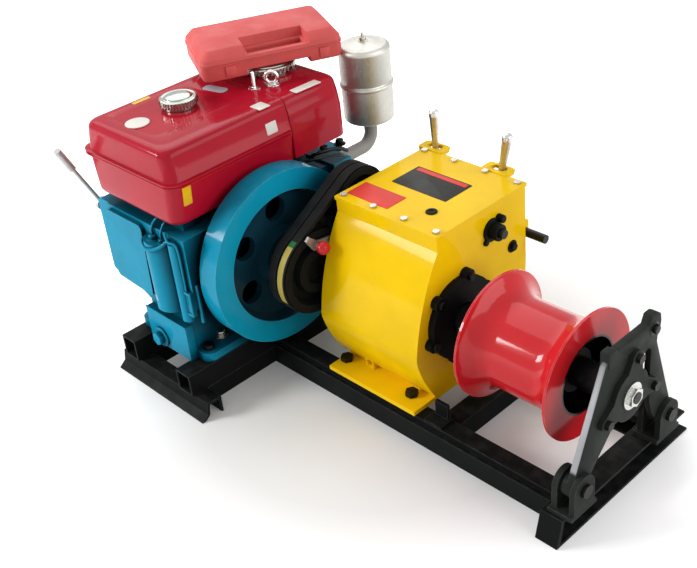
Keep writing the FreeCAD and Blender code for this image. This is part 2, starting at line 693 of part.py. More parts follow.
def air_cleaner():
    x, y = d.cleaner_along, d.cleaner_deep
    low, high, radius = d.cleaner_bottom, d.cleaner_top, d.cleaner_radius
    tall = high - low
    bead = tall * 0.47
    can = [(0.0, 0.0), (0.0, radius - 14.0), (10.0, radius), (bead - 4.0, radius),
           (bead - 2.0, radius + 3.0), (bead + 2.0, radius + 3.0), (bead + 4.0, radius),
           (tall - 16.0, radius), (tall - 6.0, radius - 8.0), (tall - 4.0, radius - 16.0),
           (tall, radius - 40.0), (tall, 0.0)]
    body = new_body(x, y, low, Rotation(Vector(0, 1, 0), -90))
    revolve(body, outline(body, "XZ_Plane", can))
    stem = rod("z", 5.0, 22.0, x, y, high)
    wings = [box(x + side * 11.0 - 8.0, x + side * 11.0 + 8.0, y - 3.0, y + 3.0, high + 6.0, high + 22.0)
             for side in (-1.0, 1.0)]
    keep(fuse(body, stem, *wings), "air_cleaner")
    elbow_pipe(x, y, low)


def elbow_pipe(x, y, low):
    """A pipe from the air cleaner's bottom, down and back into the cylinder head."""
    port = value(d.case_far + d.block_length + d.head_length)
    radius, bend = value(d.elbow_radius), 34.0
    wall = 3.0
    drop = value(low) - value(d.elbow_height)
    reach = value(y) - port
    turn = Vector(0, -bend, bend - drop)
    path = [Part.LineSegment(Vector(0, 0, 0), Vector(0, 0, bend - drop)),
            Part.Arc(Vector(0, 0, bend - drop),
                     turn + Vector(0, bend * math.cos(math.pi / 4), -bend * math.sin(math.pi / 4)),
                     Vector(0, -bend, -drop)),
            Part.LineSegment(Vector(0, -bend, -drop), Vector(0, -reach, -drop))]
    spine = Part.Wire([edge.toShape() for edge in path])
    tubes = [spine.makePipe(Part.Face(Part.Wire(Part.makeCircle(size)))) for size in (radius, radius - wall)]
    shape_part("intake_elbow", tubes[0].cut(tubes[1]), x, y, low)


# Gearbox

def housing_outline(inset):
    """Cross section of the housing, open at the top, inset by the wall."""
    top = d.box_top - d.lid_thick
    near = d.lid_near + inset
    points = [(near, top), (near, d.lip_height), (d.belly + inset, d.belly_height),
              (d.heel + inset * 0.8, d.heel_height + inset), (d.far_heel - inset, d.heel_height + inset),
              (d.far_wall - inset, d.far_bend), (d.far_wall - inset, top)]
    return points, {1: d.slope_radius, 2: d.belly_radius, 4: d.far_radius}


def counter_axis():
    """Where the counter shaft lies so that both gear pairs mesh."""
    deep, height = d.input_deep.value, d.input_height.value
    way = Vector(0, 0 - deep, d.drum_height.value - height)
    span = way.Length
    way.normalize()
    fast = d.module_fast.value * (d.pinion_teeth.value + d.wheel_teeth.value) / 2
    slow = d.module_slow.value * (d.pinion_teeth.value + d.wheel_teeth.value) / 2
    reach = (fast ** 2 - slow ** 2 + span ** 2) / (2 * span)
    side = math.sqrt(fast ** 2 - reach ** 2)
    return deep + way.y * reach - way.z * side, height + way.z * reach + way.y * side


def shaft_seats():
    """Axis, bearing radius and shaft radius of the three gearbox shafts."""
    deep, height = counter_axis()
    return {"input": (d.input_deep, d.input_height, 31.0, d.input_radius),
            "counter": (deep, height, 40.0, d.counter_radius),
            "output": (0.0, d.drum_height, 55.0, d.output_radius)}


def gearbox_housing():
    body = new_body()
    points, bulges = housing_outline(0.0)
    pad(body, outline(body, "YZ_Plane", points, d.box_start, bulges), d.box_end - d.box_start)
    belly = value(d.belly)
    fillet(body, 55.0, lambda edge: along(Vector(1, 0, 0))(edge)
           and abs(edge.Vertexes[0].Point.y - belly) < 1.0)
    points, bulges = housing_outline(d.box_wall)
    inside = outline(body, "YZ_Plane", points, d.box_start + d.box_wall, bulges)
    pocket(body, inside, d.box_end - d.box_start - d.box_wall * 2)
    low = d.rail_height + d.bar_thick
    feet = [box(d.flange_start, d.flange_end, d.flange_near, d.heel + 12.0, low, low + d.flange_thick),
            box(d.flange_start, d.flange_end, d.far_heel - 20.0, d.flange_far, low, low + d.flange_thick)]
    bosses = []
    holes = []
    depth = d.box_wall + d.boss_depth
    for name, (y, z, seat, shaft) in shaft_seats().items():
        for x in (d.box_start + d.box_wall, d.box_end - depth):
            bosses.append(rod("x", seat + 9.0, d.boss_depth, x, y, z))
        start = d.box_start if name == "input" else d.box_start + 3.0
        end = d.box_end if name == "output" else d.box_end - 3.0
        holes.append(rod("x", seat, end - start, start, y, z))
    selector_lugs = [box(x, x + 40.0, d.far_wall - 2.0, d.selector_deep + 18.0,
                         d.selector_height - 20.0, d.selector_height + 20.0)
                     for x in (d.box_start + 92.0, d.box_end - 60.0)]
    pivot_lug = rod("y", 20.0, 6.0, d.speed_along, d.far_wall - 1.0, d.lever_height)
    selector_hole = rod("x", d.rod_radius + d.running_gap, 400.0, d.box_start - 20.0,
                        d.selector_deep, d.selector_height)
    shift_hole = rod("x", d.rod_radius + d.running_gap, 60.0, d.box_end - 30.0, d.shift_deep, d.shift_height)
    shaft_hole = rod("y", 9.0 + d.running_gap, 60.0, d.shift_along, d.far_wall - 30.0, d.lever_height)
    foot_holes = [rod("z", 9.0, d.flange_thick, x, y, low) for x, y in foot_bolt_spots()]
    solid = fuse(body, *feet, *bosses, *selector_lugs, pivot_lug)
    keep(cut(solid, *holes, selector_hole, shift_hole, shaft_hole, *foot_holes), "gearbox_housing")


def foot_bolt_spots():
    """The gearbox's holding-down bolts on the two rail bars."""
    ends = (d.flange_start + 16.0, d.flange_end - 44.0)
    return [(x, y) for x in ends for y in (d.rail_near + 48.0, d.rail_far - 21.0)]


def lever_ear(x):
    """A rounded ear on the top plate's far edge, with the slot that a lever swings in."""
    half, rounding = d.ear_half, d.ear_round
    y0, y1 = d.lid_far - 2.0, d.lid_far + d.ear_deep
    points = [(x - half, y0), (x + half, y0), (x + half, y1 - rounding), (x + half - rounding, y1),
              (x - half + rounding, y1), (x - half, y1 - rounding)]
    body = new_body()
    pad(body, outline(body, "XY_Plane", points, d.box_top - d.lid_thick, {2: rounding, 4: rounding}),
        d.lid_thick)
    lever = d.far_wall + 19.0
    return cut(body, box(x - d.slot_half, x + d.slot_half, lever - d.slot_deep, lever + d.slot_deep,
                         d.box_top - d.lid_thick, d.box_top))


def gearbox_outside():
    top = d.box_top - d.lid_thick
    plate = box(d.box_start - 2.0, d.box_end + 2.0, d.lid_near - 3.0, d.lid_far + 2.0, top, d.box_top)
    ears = [lever_ear(x) for x in (d.speed_along, d.shift_along)]
    keep(fuse(plate, *ears), "gearbox_top_plate")
    inset = 12.0
    xs = [d.box_start + inset + (d.box_end - d.box_start - inset * 2) * (n / 3) for n in range(4)]
    spots = [(x, y) for x in xs for y in (d.lid_near + inset, d.lid_far - inset)]
    keep(group([bolt_head("z", 8.0, 5.0, x, y, d.box_top) for x, y in spots]), "top_plate_screws")
    low = d.rail_height + d.bar_thick
    for x, y in foot_bolt_spots():
        drive_bolts.append(fuse(bolt_head("z", 15.0, 11.0, x, y, low + d.flange_thick),
                                rod("z", 8.6, d.flange_thick, x, y, low)))
    flange = rod("x", d.output_flange - 12.0, d.output_flange_thick, d.box_end, 0.0, d.drum_height)
    lobes = [rod("x", 15.0, d.output_flange_thick, d.box_end, y, d.drum_height + z)
             for y, z in polar(6, d.output_flange.value - 12.0, 15.0)]
    bore = rod("x", d.output_radius + 4.0, d.output_flange_thick, d.box_end, 0.0, d.drum_height)
    keep(cut(fuse(flange, *lobes), bore), "output_bearing_flange")
    for y, z in polar(6, d.output_flange.value - 12.0, 15.0):
        drive_bolts.append(bolt_head("x", 9.0, 8.0, d.box_end + d.output_flange_thick, y, d.drum_height + z))
    boss = ring("x", 20.0, d.rod_radius + 0.4, 26.0, d.box_end, d.shift_deep, d.shift_height)
    plugs = [bolt_head("x", 16.0, 14.0, d.box_end, d.plug_deep, d.selector_height),
             bolt_head("z", 13.0, 12.0, d.filler_along, d.filler_deep, d.box_top)]
    keep(group([boss, *plugs]), "gearbox_plugs")


def gear_shape(teeth, module, width, bore):
    builder = fcgear.FCWireBuilder()
    involute.CreateExternalGear(builder, module, int(teeth), PRESSURE_ANGLE, shiftCoeff=TOOTH_THINNING)
    wire = Part.Wire([edge.toShape() for edge in builder.wire])
    disc = Part.Face(wire).extrude(Vector(0, 0, width))
    return disc.cut(Part.makeCylinder(bore, width)) if bore else disc


def gear_train():
    seats = shaft_seats()
    small, large = d.pinion_teeth.value, d.wheel_teeth.value
    counter = seats["counter"][:2]
    fast_angle = math.degrees(math.atan2(counter[1] - d.input_height.value, counter[0] - d.input_deep.value))
    slow_angle = math.degrees(math.atan2(d.drum_height.value - counter[1], 0.0 - counter[0]))
    half_tooth = 180.0 / large
    fast_x, slow_x = d.fast_start, d.slow_start
    fast_wide, slow_wide = d.fast_width.value, d.slow_width.value
    fast, slow = d.module_fast.value, d.module_slow.value

    def wheel(label, teeth, module, wide, bore, x, y, z, angle):
        turn = ACROSS.multiply(Rotation(Vector(0, 0, 1), angle))
        return shape_part(label, gear_shape(teeth, module, wide, bore), x, y, z, turn)

    pinion = wheel("", small, fast, fast_wide, 0.0, fast_x, d.input_deep, d.input_height, fast_angle)
    shaft = rod("x", d.input_radius, d.box_end - 6.0 - d.pulley_start, d.pulley_start,
                d.input_deep, d.input_height)
    keep(fuse(shaft, pinion), "input_pinion_shaft")
    wheel("counter_gear", large, fast, fast_wide - 4.0, d.counter_radius.value, fast_x + 2.0, *counter,
          fast_angle + 180.0 + half_tooth)
    pinion = wheel("", small, slow, slow_wide, 0.0, slow_x, *counter, slow_angle)
    shaft = rod("x", d.counter_radius, d.box_end - d.box_start - 12.0, d.box_start + 6.0, *counter)
    keep(fuse(shaft, pinion), "counter_pinion_shaft")
    wheel("output_gear", large, slow, slow_wide - 6.0, d.output_radius.value, slow_x + 3.0, 0.0,
          d.drum_height, slow_angle + 180.0 + half_tooth)
    width = 16.0
    keep(group([ring("x", seat, shaft + d.running_gap, width, x, y, z)
                for y, z, seat, shaft in seats.values()
                for x in (d.box_start + 3.5, d.box_end - 3.5 - width)]), "gearbox_bearings")


def gear_levers():
    height, tall = d.lever_height, d.lever_tip - d.lever_height
    # Speed lever: hub on a fixed pivot, stem above it and an arm down to the selector rod
    x = d.speed_along
    pivot_start = d.far_wall + 5.0
    pin = fuse(rod("y", 9.0, 34.0, x, pivot_start, height),
               rod("y", 14.0, 5.0, x, pivot_start + 29.0, height))
    pivots.append(pin)
    hub = ring("y", 18.0, 9.0 + d.running_gap, 20.0, x, pivot_start + 4.0, height)
    lever_y = pivot_start + 14.0
    stem = rod("z", d.lever_radius, tall - 14.0, x, lever_y, height + 14.0)
    arm = rod("z", 4.5, height - d.selector_height - 14.0, x, lever_y, d.selector_height)
    grip = cone(d.lever_radius, d.lever_radius + 3.5, d.lever_tip - d.grip_start, x, lever_y,
                d.grip_start)
    keep(fuse(hub, stem, arm, grip, ball(6.5, x, lever_y, d.selector_height)), "speed_lever")
    # Selector rod with a fork round the arm's ball
    rod_x = x - 26.0
    bar = rod("x", d.rod_radius, d.box_end + 41.0 - rod_x, rod_x, d.selector_deep, d.selector_height)
    fork = box(rod_x, x + 26.0, d.selector_deep - 8.0, d.selector_deep + 8.0, d.selector_height - 9.0,
               d.selector_height + 9.0)
    slot = box(x - 7.2, x + 7.2, d.far_wall - 2.0, d.selector_deep + 12.0, d.selector_height - 12.0,
               d.selector_height + 12.0)
    keep(cut(fuse(bar, fork), slot), "selector_rod")
    # Shift lever: fixed on a shaft through the far wall, with a finger in the shift rod's notch
    x = d.shift_along
    tilt = Rotation(Vector(0, 1, 0), d.shift_tilt.value)
    shaft = rod("y", 9.0, pivot_start + 26.0 - d.shift_deep + 6.0, x, d.shift_deep - 6.0, height)
    hub = rod("y", 18.0, 20.0, x, pivot_start + 4.0, height)
    stem = rod("z", d.lever_radius, tall, x, lever_y, height, tilt)
    lean = math.radians(d.shift_tilt.value)
    arm = height - d.shift_height
    tip_x, tip_z = x - arm * math.sin(lean), height - arm * math.cos(lean)
    finger = rod("z", 3.0, arm, tip_x, d.shift_deep, tip_z, tilt)
    reach = d.grip_start - height
    grip = cone(d.lever_radius, d.lever_radius + 3.5, tall - reach, x + reach * math.sin(lean), lever_y,
                height + reach * math.cos(lean), tilt)
    tip = ball(5.5, tip_x, d.shift_deep, tip_z)
    keep(fuse(shaft, hub, stem, finger, grip, tip), "shift_lever")
    start = tip_x - 24.0
    bar = rod("x", d.rod_radius, d.box_end + 36.0 - start, start, d.shift_deep, d.shift_height)
    notch = box(tip_x - 6.2, tip_x + 6.2, d.shift_deep - 12.0, d.shift_deep + 12.0, d.shift_height - 7.0,
                d.shift_height + 12.0)
    keep(cut(bar, notch), "shift_rod")


def clutch_lever():
    """A flat lever on the gearbox's end wall, with a ball knob on a stub."""
    x = d.box_start
    pivot = (-40.0, 350.0)
    knob = (-113.0, 367.0)
    pivots.append(rod("x", 10.0, 13.0, x - 13.0, *pivot))
    way = math.degrees(math.atan2(knob[1] - pivot[1], knob[0] - pivot[0]))
    length = math.hypot(knob[0] - pivot[0], knob[1] - pivot[1])
    blade = new_body(x - 12.0, *pivot, Rotation(Vector(1, 0, 0), way))
    points = [(0.0, -16.0), (length, -10.0), (length + 26.0, -24.0), (length + 34.0, -14.0),
              (length + 10.0, 10.0), (0.0, 16.0)]
    pad(blade, outline(blade, "YZ_Plane", points), 6.0)
    hub = rod("x", 19.0, 8.0, x - 13.0, *pivot)
    hole = rod("x", 10.0 + d.running_gap, 20.0, x - 20.0, *pivot)
    stub = rod("x", 5.0, 12.0, x - 8.0, *knob)
    keep(cut(fuse(blade, hub, stub), hole), "clutch_lever")
    socket = rod("x", 5.0, 14.0, x - 10.0, *knob)
    keep(cut(ball(15.0, x + 12.0, *knob), socket), "clutch_knob")


# Drum, shaft and outboard support

def drum():
    x0, x1 = d.drum_start, d.drum_start + d.drum_length
    rim, flare, waist, top, bore = d.drum_rim, d.drum_flare, d.drum_waist, d.drum_flange, d.drum_bore
    profile = [(x0, bore), (x0, top), (x0 + rim, top), (x0 + rim + flare, waist),
               (x1 - rim - flare, waist), (x1 - rim, top), (x1, top), (x1, bore)]
    bulges = {2: d.drum_flare_radius, 4: d.drum_flare_radius}
    turned("drum", profile, 0.0, d.drum_height, bulges)
    hub = d.output_radius + 16.0
    web = 18.0
    shaft = d.output_radius
    middle = x0 + 62.0
    profile = [(x0 + 10.0, shaft), (x0 + 10.0, hub), (middle, hub), (middle, bore), (middle + web, bore),
               (middle + web, hub), (x1 - 26.0, hub), (x1 - 26.0, shaft)]
    turned("drum_hub", profile, 0.0, d.drum_height)
    keep(ring("x", d.collar_radius, shaft, 66.0, d.drum_start - 72.0, 0.0, d.drum_height), "drive_collar")
    start = d.box_start + 6.0
    shoulder = d.support_start - 6.0
    stub_end = d.support_start + d.support_thick + 12.5
    keep(fuse(rod("x", shaft, shoulder - start, start, 0.0, d.drum_height),
              rod("x", d.stub_radius, stub_end - shoulder, shoulder, 0.0, d.drum_height),
              rod("x", d.thread_radius, d.shaft_end - stub_end, stub_end, 0.0, d.drum_height)), "drum_shaft")


def outboard_support():
    body = new_body()
    half, neck, top, foot = d.support_half, d.neck_half, d.support_top, d.foot_deep
    pin, lug = d.pin_height, d.lug_radius
    right = [(foot - lug, pin), (d.arch_half + 34.0, pin + 34.0), (d.arch_half, pin + 96.0),
             (d.arch_half, d.arch_top)]
    outside = [(half, top), (half, top - 28.0), (neck, top - 34.0), (neck + 6.0, d.arch_top - 14.0),
               (foot + lug - 18.0, pin + 46.0), (foot + lug, pin)]
    inner = right + [(-y, z) for y, z in reversed(right)]
    outer = [(-y, z) for y, z in reversed(outside)] + outside
    pad(body, outline(body, "YZ_Plane", inner + outer, d.support_start), d.support_thick)
    corners = value(d.arch_half)
    fillet(body, 28.0, lambda edge: along(Vector(1, 0, 0))(edge)
           and abs(abs(edge.Vertexes[0].Point.y) - corners) < 0.5
           and edge.Vertexes[0].Point.z > value(d.arch_top) - 1.0)
    lugs, holes = [[rod("x", radius, d.support_thick, d.support_start, y, pin) for y in (-foot, foot)]
                   for radius in (lug, d.pin_radius)]
    keep(cut(fuse(body, *lugs), *holes), "outboard_support")
    front = d.support_start + d.support_thick
    plate = rod("x", d.housing_radius + 4.0, 12.0, front, 0.0, d.drum_height)
    spots = [polar(1, 78.0, angle)[0] for angle in (78.0, 196.0, 344.0)]
    lobes = [rod("x", 15.0, 12.0, front, y, d.drum_height + z) for y, z in spots]
    arms = [arm_to(front, y, z) for y, z in spots]
    sleeve = rod("x", d.housing_radius, d.support_thick, d.support_start, 0.0, d.drum_height)
    seat = rod("x", 40.0, d.support_thick - 4.0, d.support_start, 0.0, d.drum_height)
    bore = rod("x", d.stub_radius + 3.0, 60.0, d.support_start, 0.0, d.drum_height)
    keep(cut(fuse(plate, sleeve, *lobes, *arms), seat, bore), "bearing_housing")
    for y, z in spots:
        drive_bolts.append(bolt_head("x", 10.0, 9.0, front + 12.0, y, d.drum_height + z))
    keep(ring("x", 40.0, d.stub_radius + d.running_gap, d.support_thick - 6.0, d.support_start + 1.0,
              0.0, d.drum_height), "support_bearing")
    washer = rod("x", 28.0, 3.0, front + 12.5, 0.0, d.drum_height)
    nut = bolt_head("x", 20.0, 9.0, front + 15.5, 0.0, d.drum_height)
    hole = rod("x", d.thread_radius, 20.0, front + 10.0, 0.0, d.drum_height)
    keep(cut(fuse(washer, nut), hole), "shaft_end_collar")


def arm_to(front, y, z):
    """A tapering arm from the bearing housing's plate to a bolt lobe."""
    angle = math.degrees(math.atan2(z, y))
    body = new_body(front, 0.0, d.drum_height, Rotation(Vector(1, 0, 0), angle))
    pad(body, outline(body, "YZ_Plane", [(0.0, -40.0), (78.0, -14.0), (78.0, 14.0), (0.0, 40.0)]), 12.0)
    return body


def clevises():
    pin, radius, foot, gap = d.pin_height, d.cheek_radius, d.foot_deep, d.cheek_gap
    top = d.cross_height + d.plate_thick
    back = d.support_start - gap - d.cheek_thick
    front = d.support_start + d.support_thick + gap
    forks = []
    for y in (-foot, foot):
        base = box(back - 4.0, front + d.cheek_thick, y - radius - 8.0, y + radius + 8.0,
                   d.cross_height, top)
        cheeks = []
        for x in (back, front):
            cheeks.append(box(x, x + d.cheek_thick, y - radius, y + radius, top, pin))
            cheeks.append(rod("x", radius, d.cheek_thick, x, y, pin))
        hole = rod("x", d.pin_radius, 120.0, back - 20.0, y, pin)
        forks.append(cut(fuse(base, *cheeks), hole))
    keep(group(forks), "clevises")
    long = front + d.cheek_thick - back
    pins = [fuse(rod("x", d.pin_radius, long + 14.0, back - 8.0, y, pin),
                 rod("x", 14.0, 8.0, front + d.cheek_thick, y, pin)) for y in (-foot, foot)]
    keep(group(pins), "clevis_pins")


# Lever, ring and case on the engine

def engine_fittings():
    x = d.case_left - 34.0
    pivot = (x, -304.0, 380.0)
    pivots.append(rod("x", 9.0, 34.0, x - 34.0, pivot[1], pivot[2]))
    lean = Rotation(Vector(1, 0, 0), 25.2)
    hub = ring("x", 16.0, 9.0 + d.running_gap, 12.0, x - 32.0, pivot[1], pivot[2])
    stem = rod("z", 5.0, 114.0, x - 26.0, pivot[1] - 6.0, pivot[2] + 13.0, lean)
    reach = 108.0
    angle = math.radians(25.2)
    grip = rod("z", 9.0, 62.0, x - 26.0, pivot[1] - 6.0 - reach * math.sin(angle),
               pivot[2] + 13.0 + reach * math.cos(angle), lean)
    keep(fuse(hub, stem, grip), "throttle_lever")
    top = d.tank_top
    eye = doc.addObject("Part::Torus", "Eye")
    bind(eye, Radius1=d.eye_radius, Radius2=d.eye_wire)
    x, y = d.eye_along, d.eye_deep
    place(eye, x, y, top + d.eye_radius + d.eye_wire, TURN["y"])
    foot = box(x - 20.0, x + 20.0, y - 9.0, y + 9.0, top, top + 6.0)
    keep(fuse(eye, foot), "lifting_ring")


def tool_case():
    turn = Rotation(Vector(0, 0, 1), d.case_turn.value)
    long, wide, wall = d.case_length, d.case_width, d.case_wall

    def shell(label, low, high, opening_up):
        """Half of the case: a rounded tray, open towards the parting line."""
        body = new_body(d.case_along, d.case_deep, d.case_bottom, turn)
        outer = [(-long / 2, -wide / 2), (long / 2, -wide / 2), (long / 2, wide / 2), (-long / 2, wide / 2)]
        pad(body, outline(body, "XY_Plane", outer, low), high - low)
        fillet(body, 16.0, along(Vector(0, 0, 1)))
        edge = value(low) if opening_up else value(high)
        fillet(body, 7.0, lambda item: abs(item.BoundBox.ZMin - edge) < 0.01
               and abs(item.BoundBox.ZMax - edge) < 0.01)
        inner = [(-long / 2 + wall, -wide / 2 + wall), (long / 2 - wall, -wide / 2 + wall),
                 (long / 2 - wall, wide / 2 - wall), (-long / 2 + wall, wide / 2 - wall)]
        start = low + wall if opening_up else low
        pocket(body, outline(body, "XY_Plane", inner, start), high - low - wall)
        return keep(body, label)

    shell("tool_case_tray", Size("0", 0.0), d.tray_height, True)
    shell("tool_case_lid", d.tray_height + 0.6, d.tray_height + d.lid_height, False)


skid()
crankcase()
crankshaft()
flywheel()
belt_drive()
engine_covers()
hood()
air_cleaner()
gearbox_housing()
gearbox_outside()
gear_train()
gear_levers()
clutch_lever()
drum()
outboard_support()
clevises()
engine_fittings()
tool_case()
keep(group(pivots), "lever_pivots")
keep(group(drive_bolts), "drive_bolts")
doc.recompute()

faults = [item.Name for item in doc.Objects if {"Invalid", "Error"} & set(item.State)]
faults += [item.Label for item in pieces
           if item.Shape.isNull() or not item.Shape.isValid() or not item.Shape.Solids]
if faults:
    raise RuntimeError(f"failed objects: {faults}")

os.makedirs(PARTS_FOLDER, exist_ok=True)
for item in pieces:
    item.Shape.exportStep(os.path.join(PARTS_FOLDER, f"{item.Label}.step"))
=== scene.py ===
"""Looks of a diesel winch: finishes, pressings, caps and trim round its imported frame."""

import math

import bpy
from mathutils import Matrix, Vector

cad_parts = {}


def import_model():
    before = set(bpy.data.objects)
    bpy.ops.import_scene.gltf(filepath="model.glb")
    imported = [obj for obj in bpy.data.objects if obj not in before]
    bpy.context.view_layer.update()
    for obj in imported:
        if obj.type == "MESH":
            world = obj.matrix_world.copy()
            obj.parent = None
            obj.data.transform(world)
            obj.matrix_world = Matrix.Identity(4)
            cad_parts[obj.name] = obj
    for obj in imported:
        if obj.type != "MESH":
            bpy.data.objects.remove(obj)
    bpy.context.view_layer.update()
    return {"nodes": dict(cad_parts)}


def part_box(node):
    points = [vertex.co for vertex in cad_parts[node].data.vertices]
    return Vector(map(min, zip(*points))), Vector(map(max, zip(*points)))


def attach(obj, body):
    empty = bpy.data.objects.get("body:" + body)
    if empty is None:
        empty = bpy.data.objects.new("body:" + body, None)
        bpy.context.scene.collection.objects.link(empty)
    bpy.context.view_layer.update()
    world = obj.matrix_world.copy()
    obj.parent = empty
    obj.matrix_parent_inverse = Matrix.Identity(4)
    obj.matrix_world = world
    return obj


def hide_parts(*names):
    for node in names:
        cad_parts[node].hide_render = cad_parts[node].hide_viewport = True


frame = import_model()

# Places are in millimetres of the skid: X along the shafts, Y away from the operator, Z up
MM = 0.001
SHAFT_END = 990.0
CRANK = (-110.0, 298.0)
DRUM_AXIS = (0.0, 250.0)
FULL_TURN = 2.0 * math.pi
SMOOTH_ANGLE = math.radians(32.0)
flywheel_low, flywheel_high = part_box("flywheel")
ORIGIN = Vector((SHAFT_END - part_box("drum_shaft")[1].x / MM,
                 CRANK[0] - (flywheel_low.y + flywheel_high.y) / 2 / MM, 0.0))


def at(x, y, z):
    """A place on the skid as a point of the frame, in metres."""
    return (Vector((x, y, z)) - ORIGIN) * MM


# Shapes: lists of points and faces in the skid's millimetres

def loft(rings):
    """Faces through rings of equally many points, with a cap at both ends as the last two faces."""
    count = len(rings[0])
    points = [tuple(point) for ring in rings for point in ring]
    faces = []
    for row in range(len(rings) - 1):
        low, high = row * count, (row + 1) * count
        for i in range(count):
            j = (i + 1) % count
            faces.append((low + i, low + j, high + j, high + i))
    last = (len(rings) - 1) * count
    caps = [tuple(reversed(range(count))), tuple(range(last, last + count))]
    return points, faces + caps


def placed(shape, matrix):
    """The shape moved by a matrix."""
    points, faces = shape
    return [tuple(matrix @ Vector(point)) for point in points], faces


AXES = {
    "x": Matrix(((0, 0, 1, 0), (1, 0, 0, 0), (0, 1, 0, 0), (0, 0, 0, 1))),
    "y": Matrix(((0, 1, 0, 0), (0, 0, 1, 0), (1, 0, 0, 0), (0, 0, 0, 1))),
    "z": Matrix.Identity(4),
}
TURNED_OVER = Matrix.Rotation(math.pi, 4, "X")


def stand(x, y, z, axis="z", turn=0.0):
    """A matrix that puts a shape's Z along an axis at a place."""
    return Matrix.Translation((x, y, z)) @ AXES[axis] @ Matrix.Rotation(math.radians(turn), 4, "Z")


def lathe(profile, steps, ribs=0, rib_depth=0.0, ribbed=()):
    """A turned shape from (height, radius) pairs; the ribbed rows of the profile are fluted."""
    rings = []
    for row, (height, radius) in enumerate(profile):
        ring = []
        for i in range(steps):
            angle = FULL_TURN * i / steps
            dent = rib_depth * (0.5 - 0.5 * math.cos(ribs * angle)) if row in ribbed else 0.0
            ring.append(((radius - dent) * math.cos(angle), (radius - dent) * math.sin(angle), height))
        rings.append(ring)
    return loft(rings)


def sleeve(profile, steps=48):
    """A turned ring from the (height, radius) pairs once round its section, upwards on the outside."""
    points, faces = lathe(profile, steps)
    sides = faces[:-2]
    last = (len(profile) - 1) * steps
    closing = [(last + i, last + (i + 1) % steps, (i + 1) % steps, i) for i in range(steps)]
    return points, sides + closing


def bow(height, radius, rise, reach, angles):
    """(height, radius) pairs of a rounded stretch in a turned profile, angles in degrees."""
    turns = [math.radians(a) for a in angles]
    return [(height + rise * math.sin(a), radius + reach * math.cos(a)) for a in turns]


def arc(centre, radius, start, end, steps=8):
    """Points of an arc in a plane, angles in degrees."""
    angles = [math.radians(start + (end - start) * i / steps) for i in range(steps + 1)]
    return [(centre[0] + radius * math.cos(a), centre[1] + radius * math.sin(a)) for a in angles]


def rounded_rect(x0, x1, y0, y1, far, steps=6, near=None):
    """Points of a rectangle with round corners, at its far end and at its near end."""
    near = near or far
    corners = ((x1 - far, y1 - far, far, 0), (x0 + far, y1 - far, far, 90),
               (x0 + near, y0 + near, near, 180), (x1 - near, y0 + near, near, 270))
    points = []
    for x, y, radius, start in corners:
        points += arc((x, y), radius, start, start + 90, steps)
    return points


def level(outline, z):
    """An outline in the XY plane, raised to a height."""
    return [(x, y, z) for x, y in outline]


def prism(outline, low, high):
    """A straight solid over an outline in the XY plane."""
    return loft([level(outline, low), level(outline, high)])


def block(x0, x1, y0, y1, z0, z1):
    """A box between two corners."""
    return prism([(x0, y0), (x1, y0), (x1, y1), (x0, y1)], z0, z1)


HEAD_CHAMFER, WASHER_SHARE = 0.12, 0.85


def hexagon(across):
    """Corners of a hexagon from its width across flats."""
    radius = across / math.sqrt(3)
    turns = [math.radians(60 * i) for i in range(6)]
    return [(radius * math.cos(a), radius * math.sin(a)) for a in turns]


def hex_bolt(across, height, washer, place):
    """A hexagon head with a chamfered top, on a washer, at a place."""
    head = loft([level(hexagon(across), washer),
                 level(hexagon(across), washer + height * (1 - HEAD_CHAMFER)),
                 level(hexagon(across * (1 - HEAD_CHAMFER)), washer + height)])
    disc = lathe([(0.0, across * WASHER_SHARE), (washer, across * WASHER_SHARE)], 28)
    return [placed(head, place), placed(disc, place)]


def tube(path, radius, steps=16):
    """A round bar along a path of points."""
    points = [Vector(point) for point in path]
    turns = [FULL_TURN * k / steps for k in range(steps)]
    rings = []
    side = None
    for i, point in enumerate(points):
        ahead = points[min(i + 1, len(points) - 1)] - points[max(i - 1, 0)]
        ahead.normalize()
        if side is None:
            side = ahead.orthogonal().normalized()
        side = (side - ahead * side.dot(ahead)).normalized()
        up = ahead.cross(side)
        rings.append([tuple(point + (side * math.cos(a) + up * math.sin(a)) * radius) for a in turns])
    return loft(rings)


CURVE_STEPS = 8


def curve(points):
    """A smooth path through a few points."""
    points = [Vector(point) for point in points]
    ends = [points[0] * 2 - points[1]] + points + [points[-1] * 2 - points[-2]]
    path = []
    for i in range(1, len(ends) - 2):
        a, b, c, e = ends[i - 1:i + 3]
        for k in range(CURVE_STEPS):
            t = k / CURVE_STEPS
            path.append(0.5 * (2 * b + (c - a) * t + (2 * a - 5 * b + 4 * c - e) * t ** 2
                               + (3 * b - a - 3 * c + e) * t ** 3))
    path.append(points[-1])
    return path


# Pieces

def bake_modifiers(item):
    """Put the result of the modifiers into the mesh."""
    graph = bpy.context.evaluated_depsgraph_get()
    mesh = bpy.data.meshes.new_from_object(item.evaluated_get(graph))
    old = item.data
    item.modifiers.clear()
    item.data = mesh
    bpy.data.meshes.remove(old)


def mesh_item(name, shapes):
    """One object from several shapes."""
    points, faces = [], []
    for shape_points, shape_faces in shapes:
        start = len(points)
        points += [at(*point) for point in shape_points]
        faces += [[start + i for i in face] for face in shape_faces]
    mesh = bpy.data.meshes.new(name)
    mesh.from_pydata(points, [], faces)
    mesh.update()
    item = bpy.data.objects.new(name, mesh)
    bpy.context.scene.collection.objects.link(item)
    return item


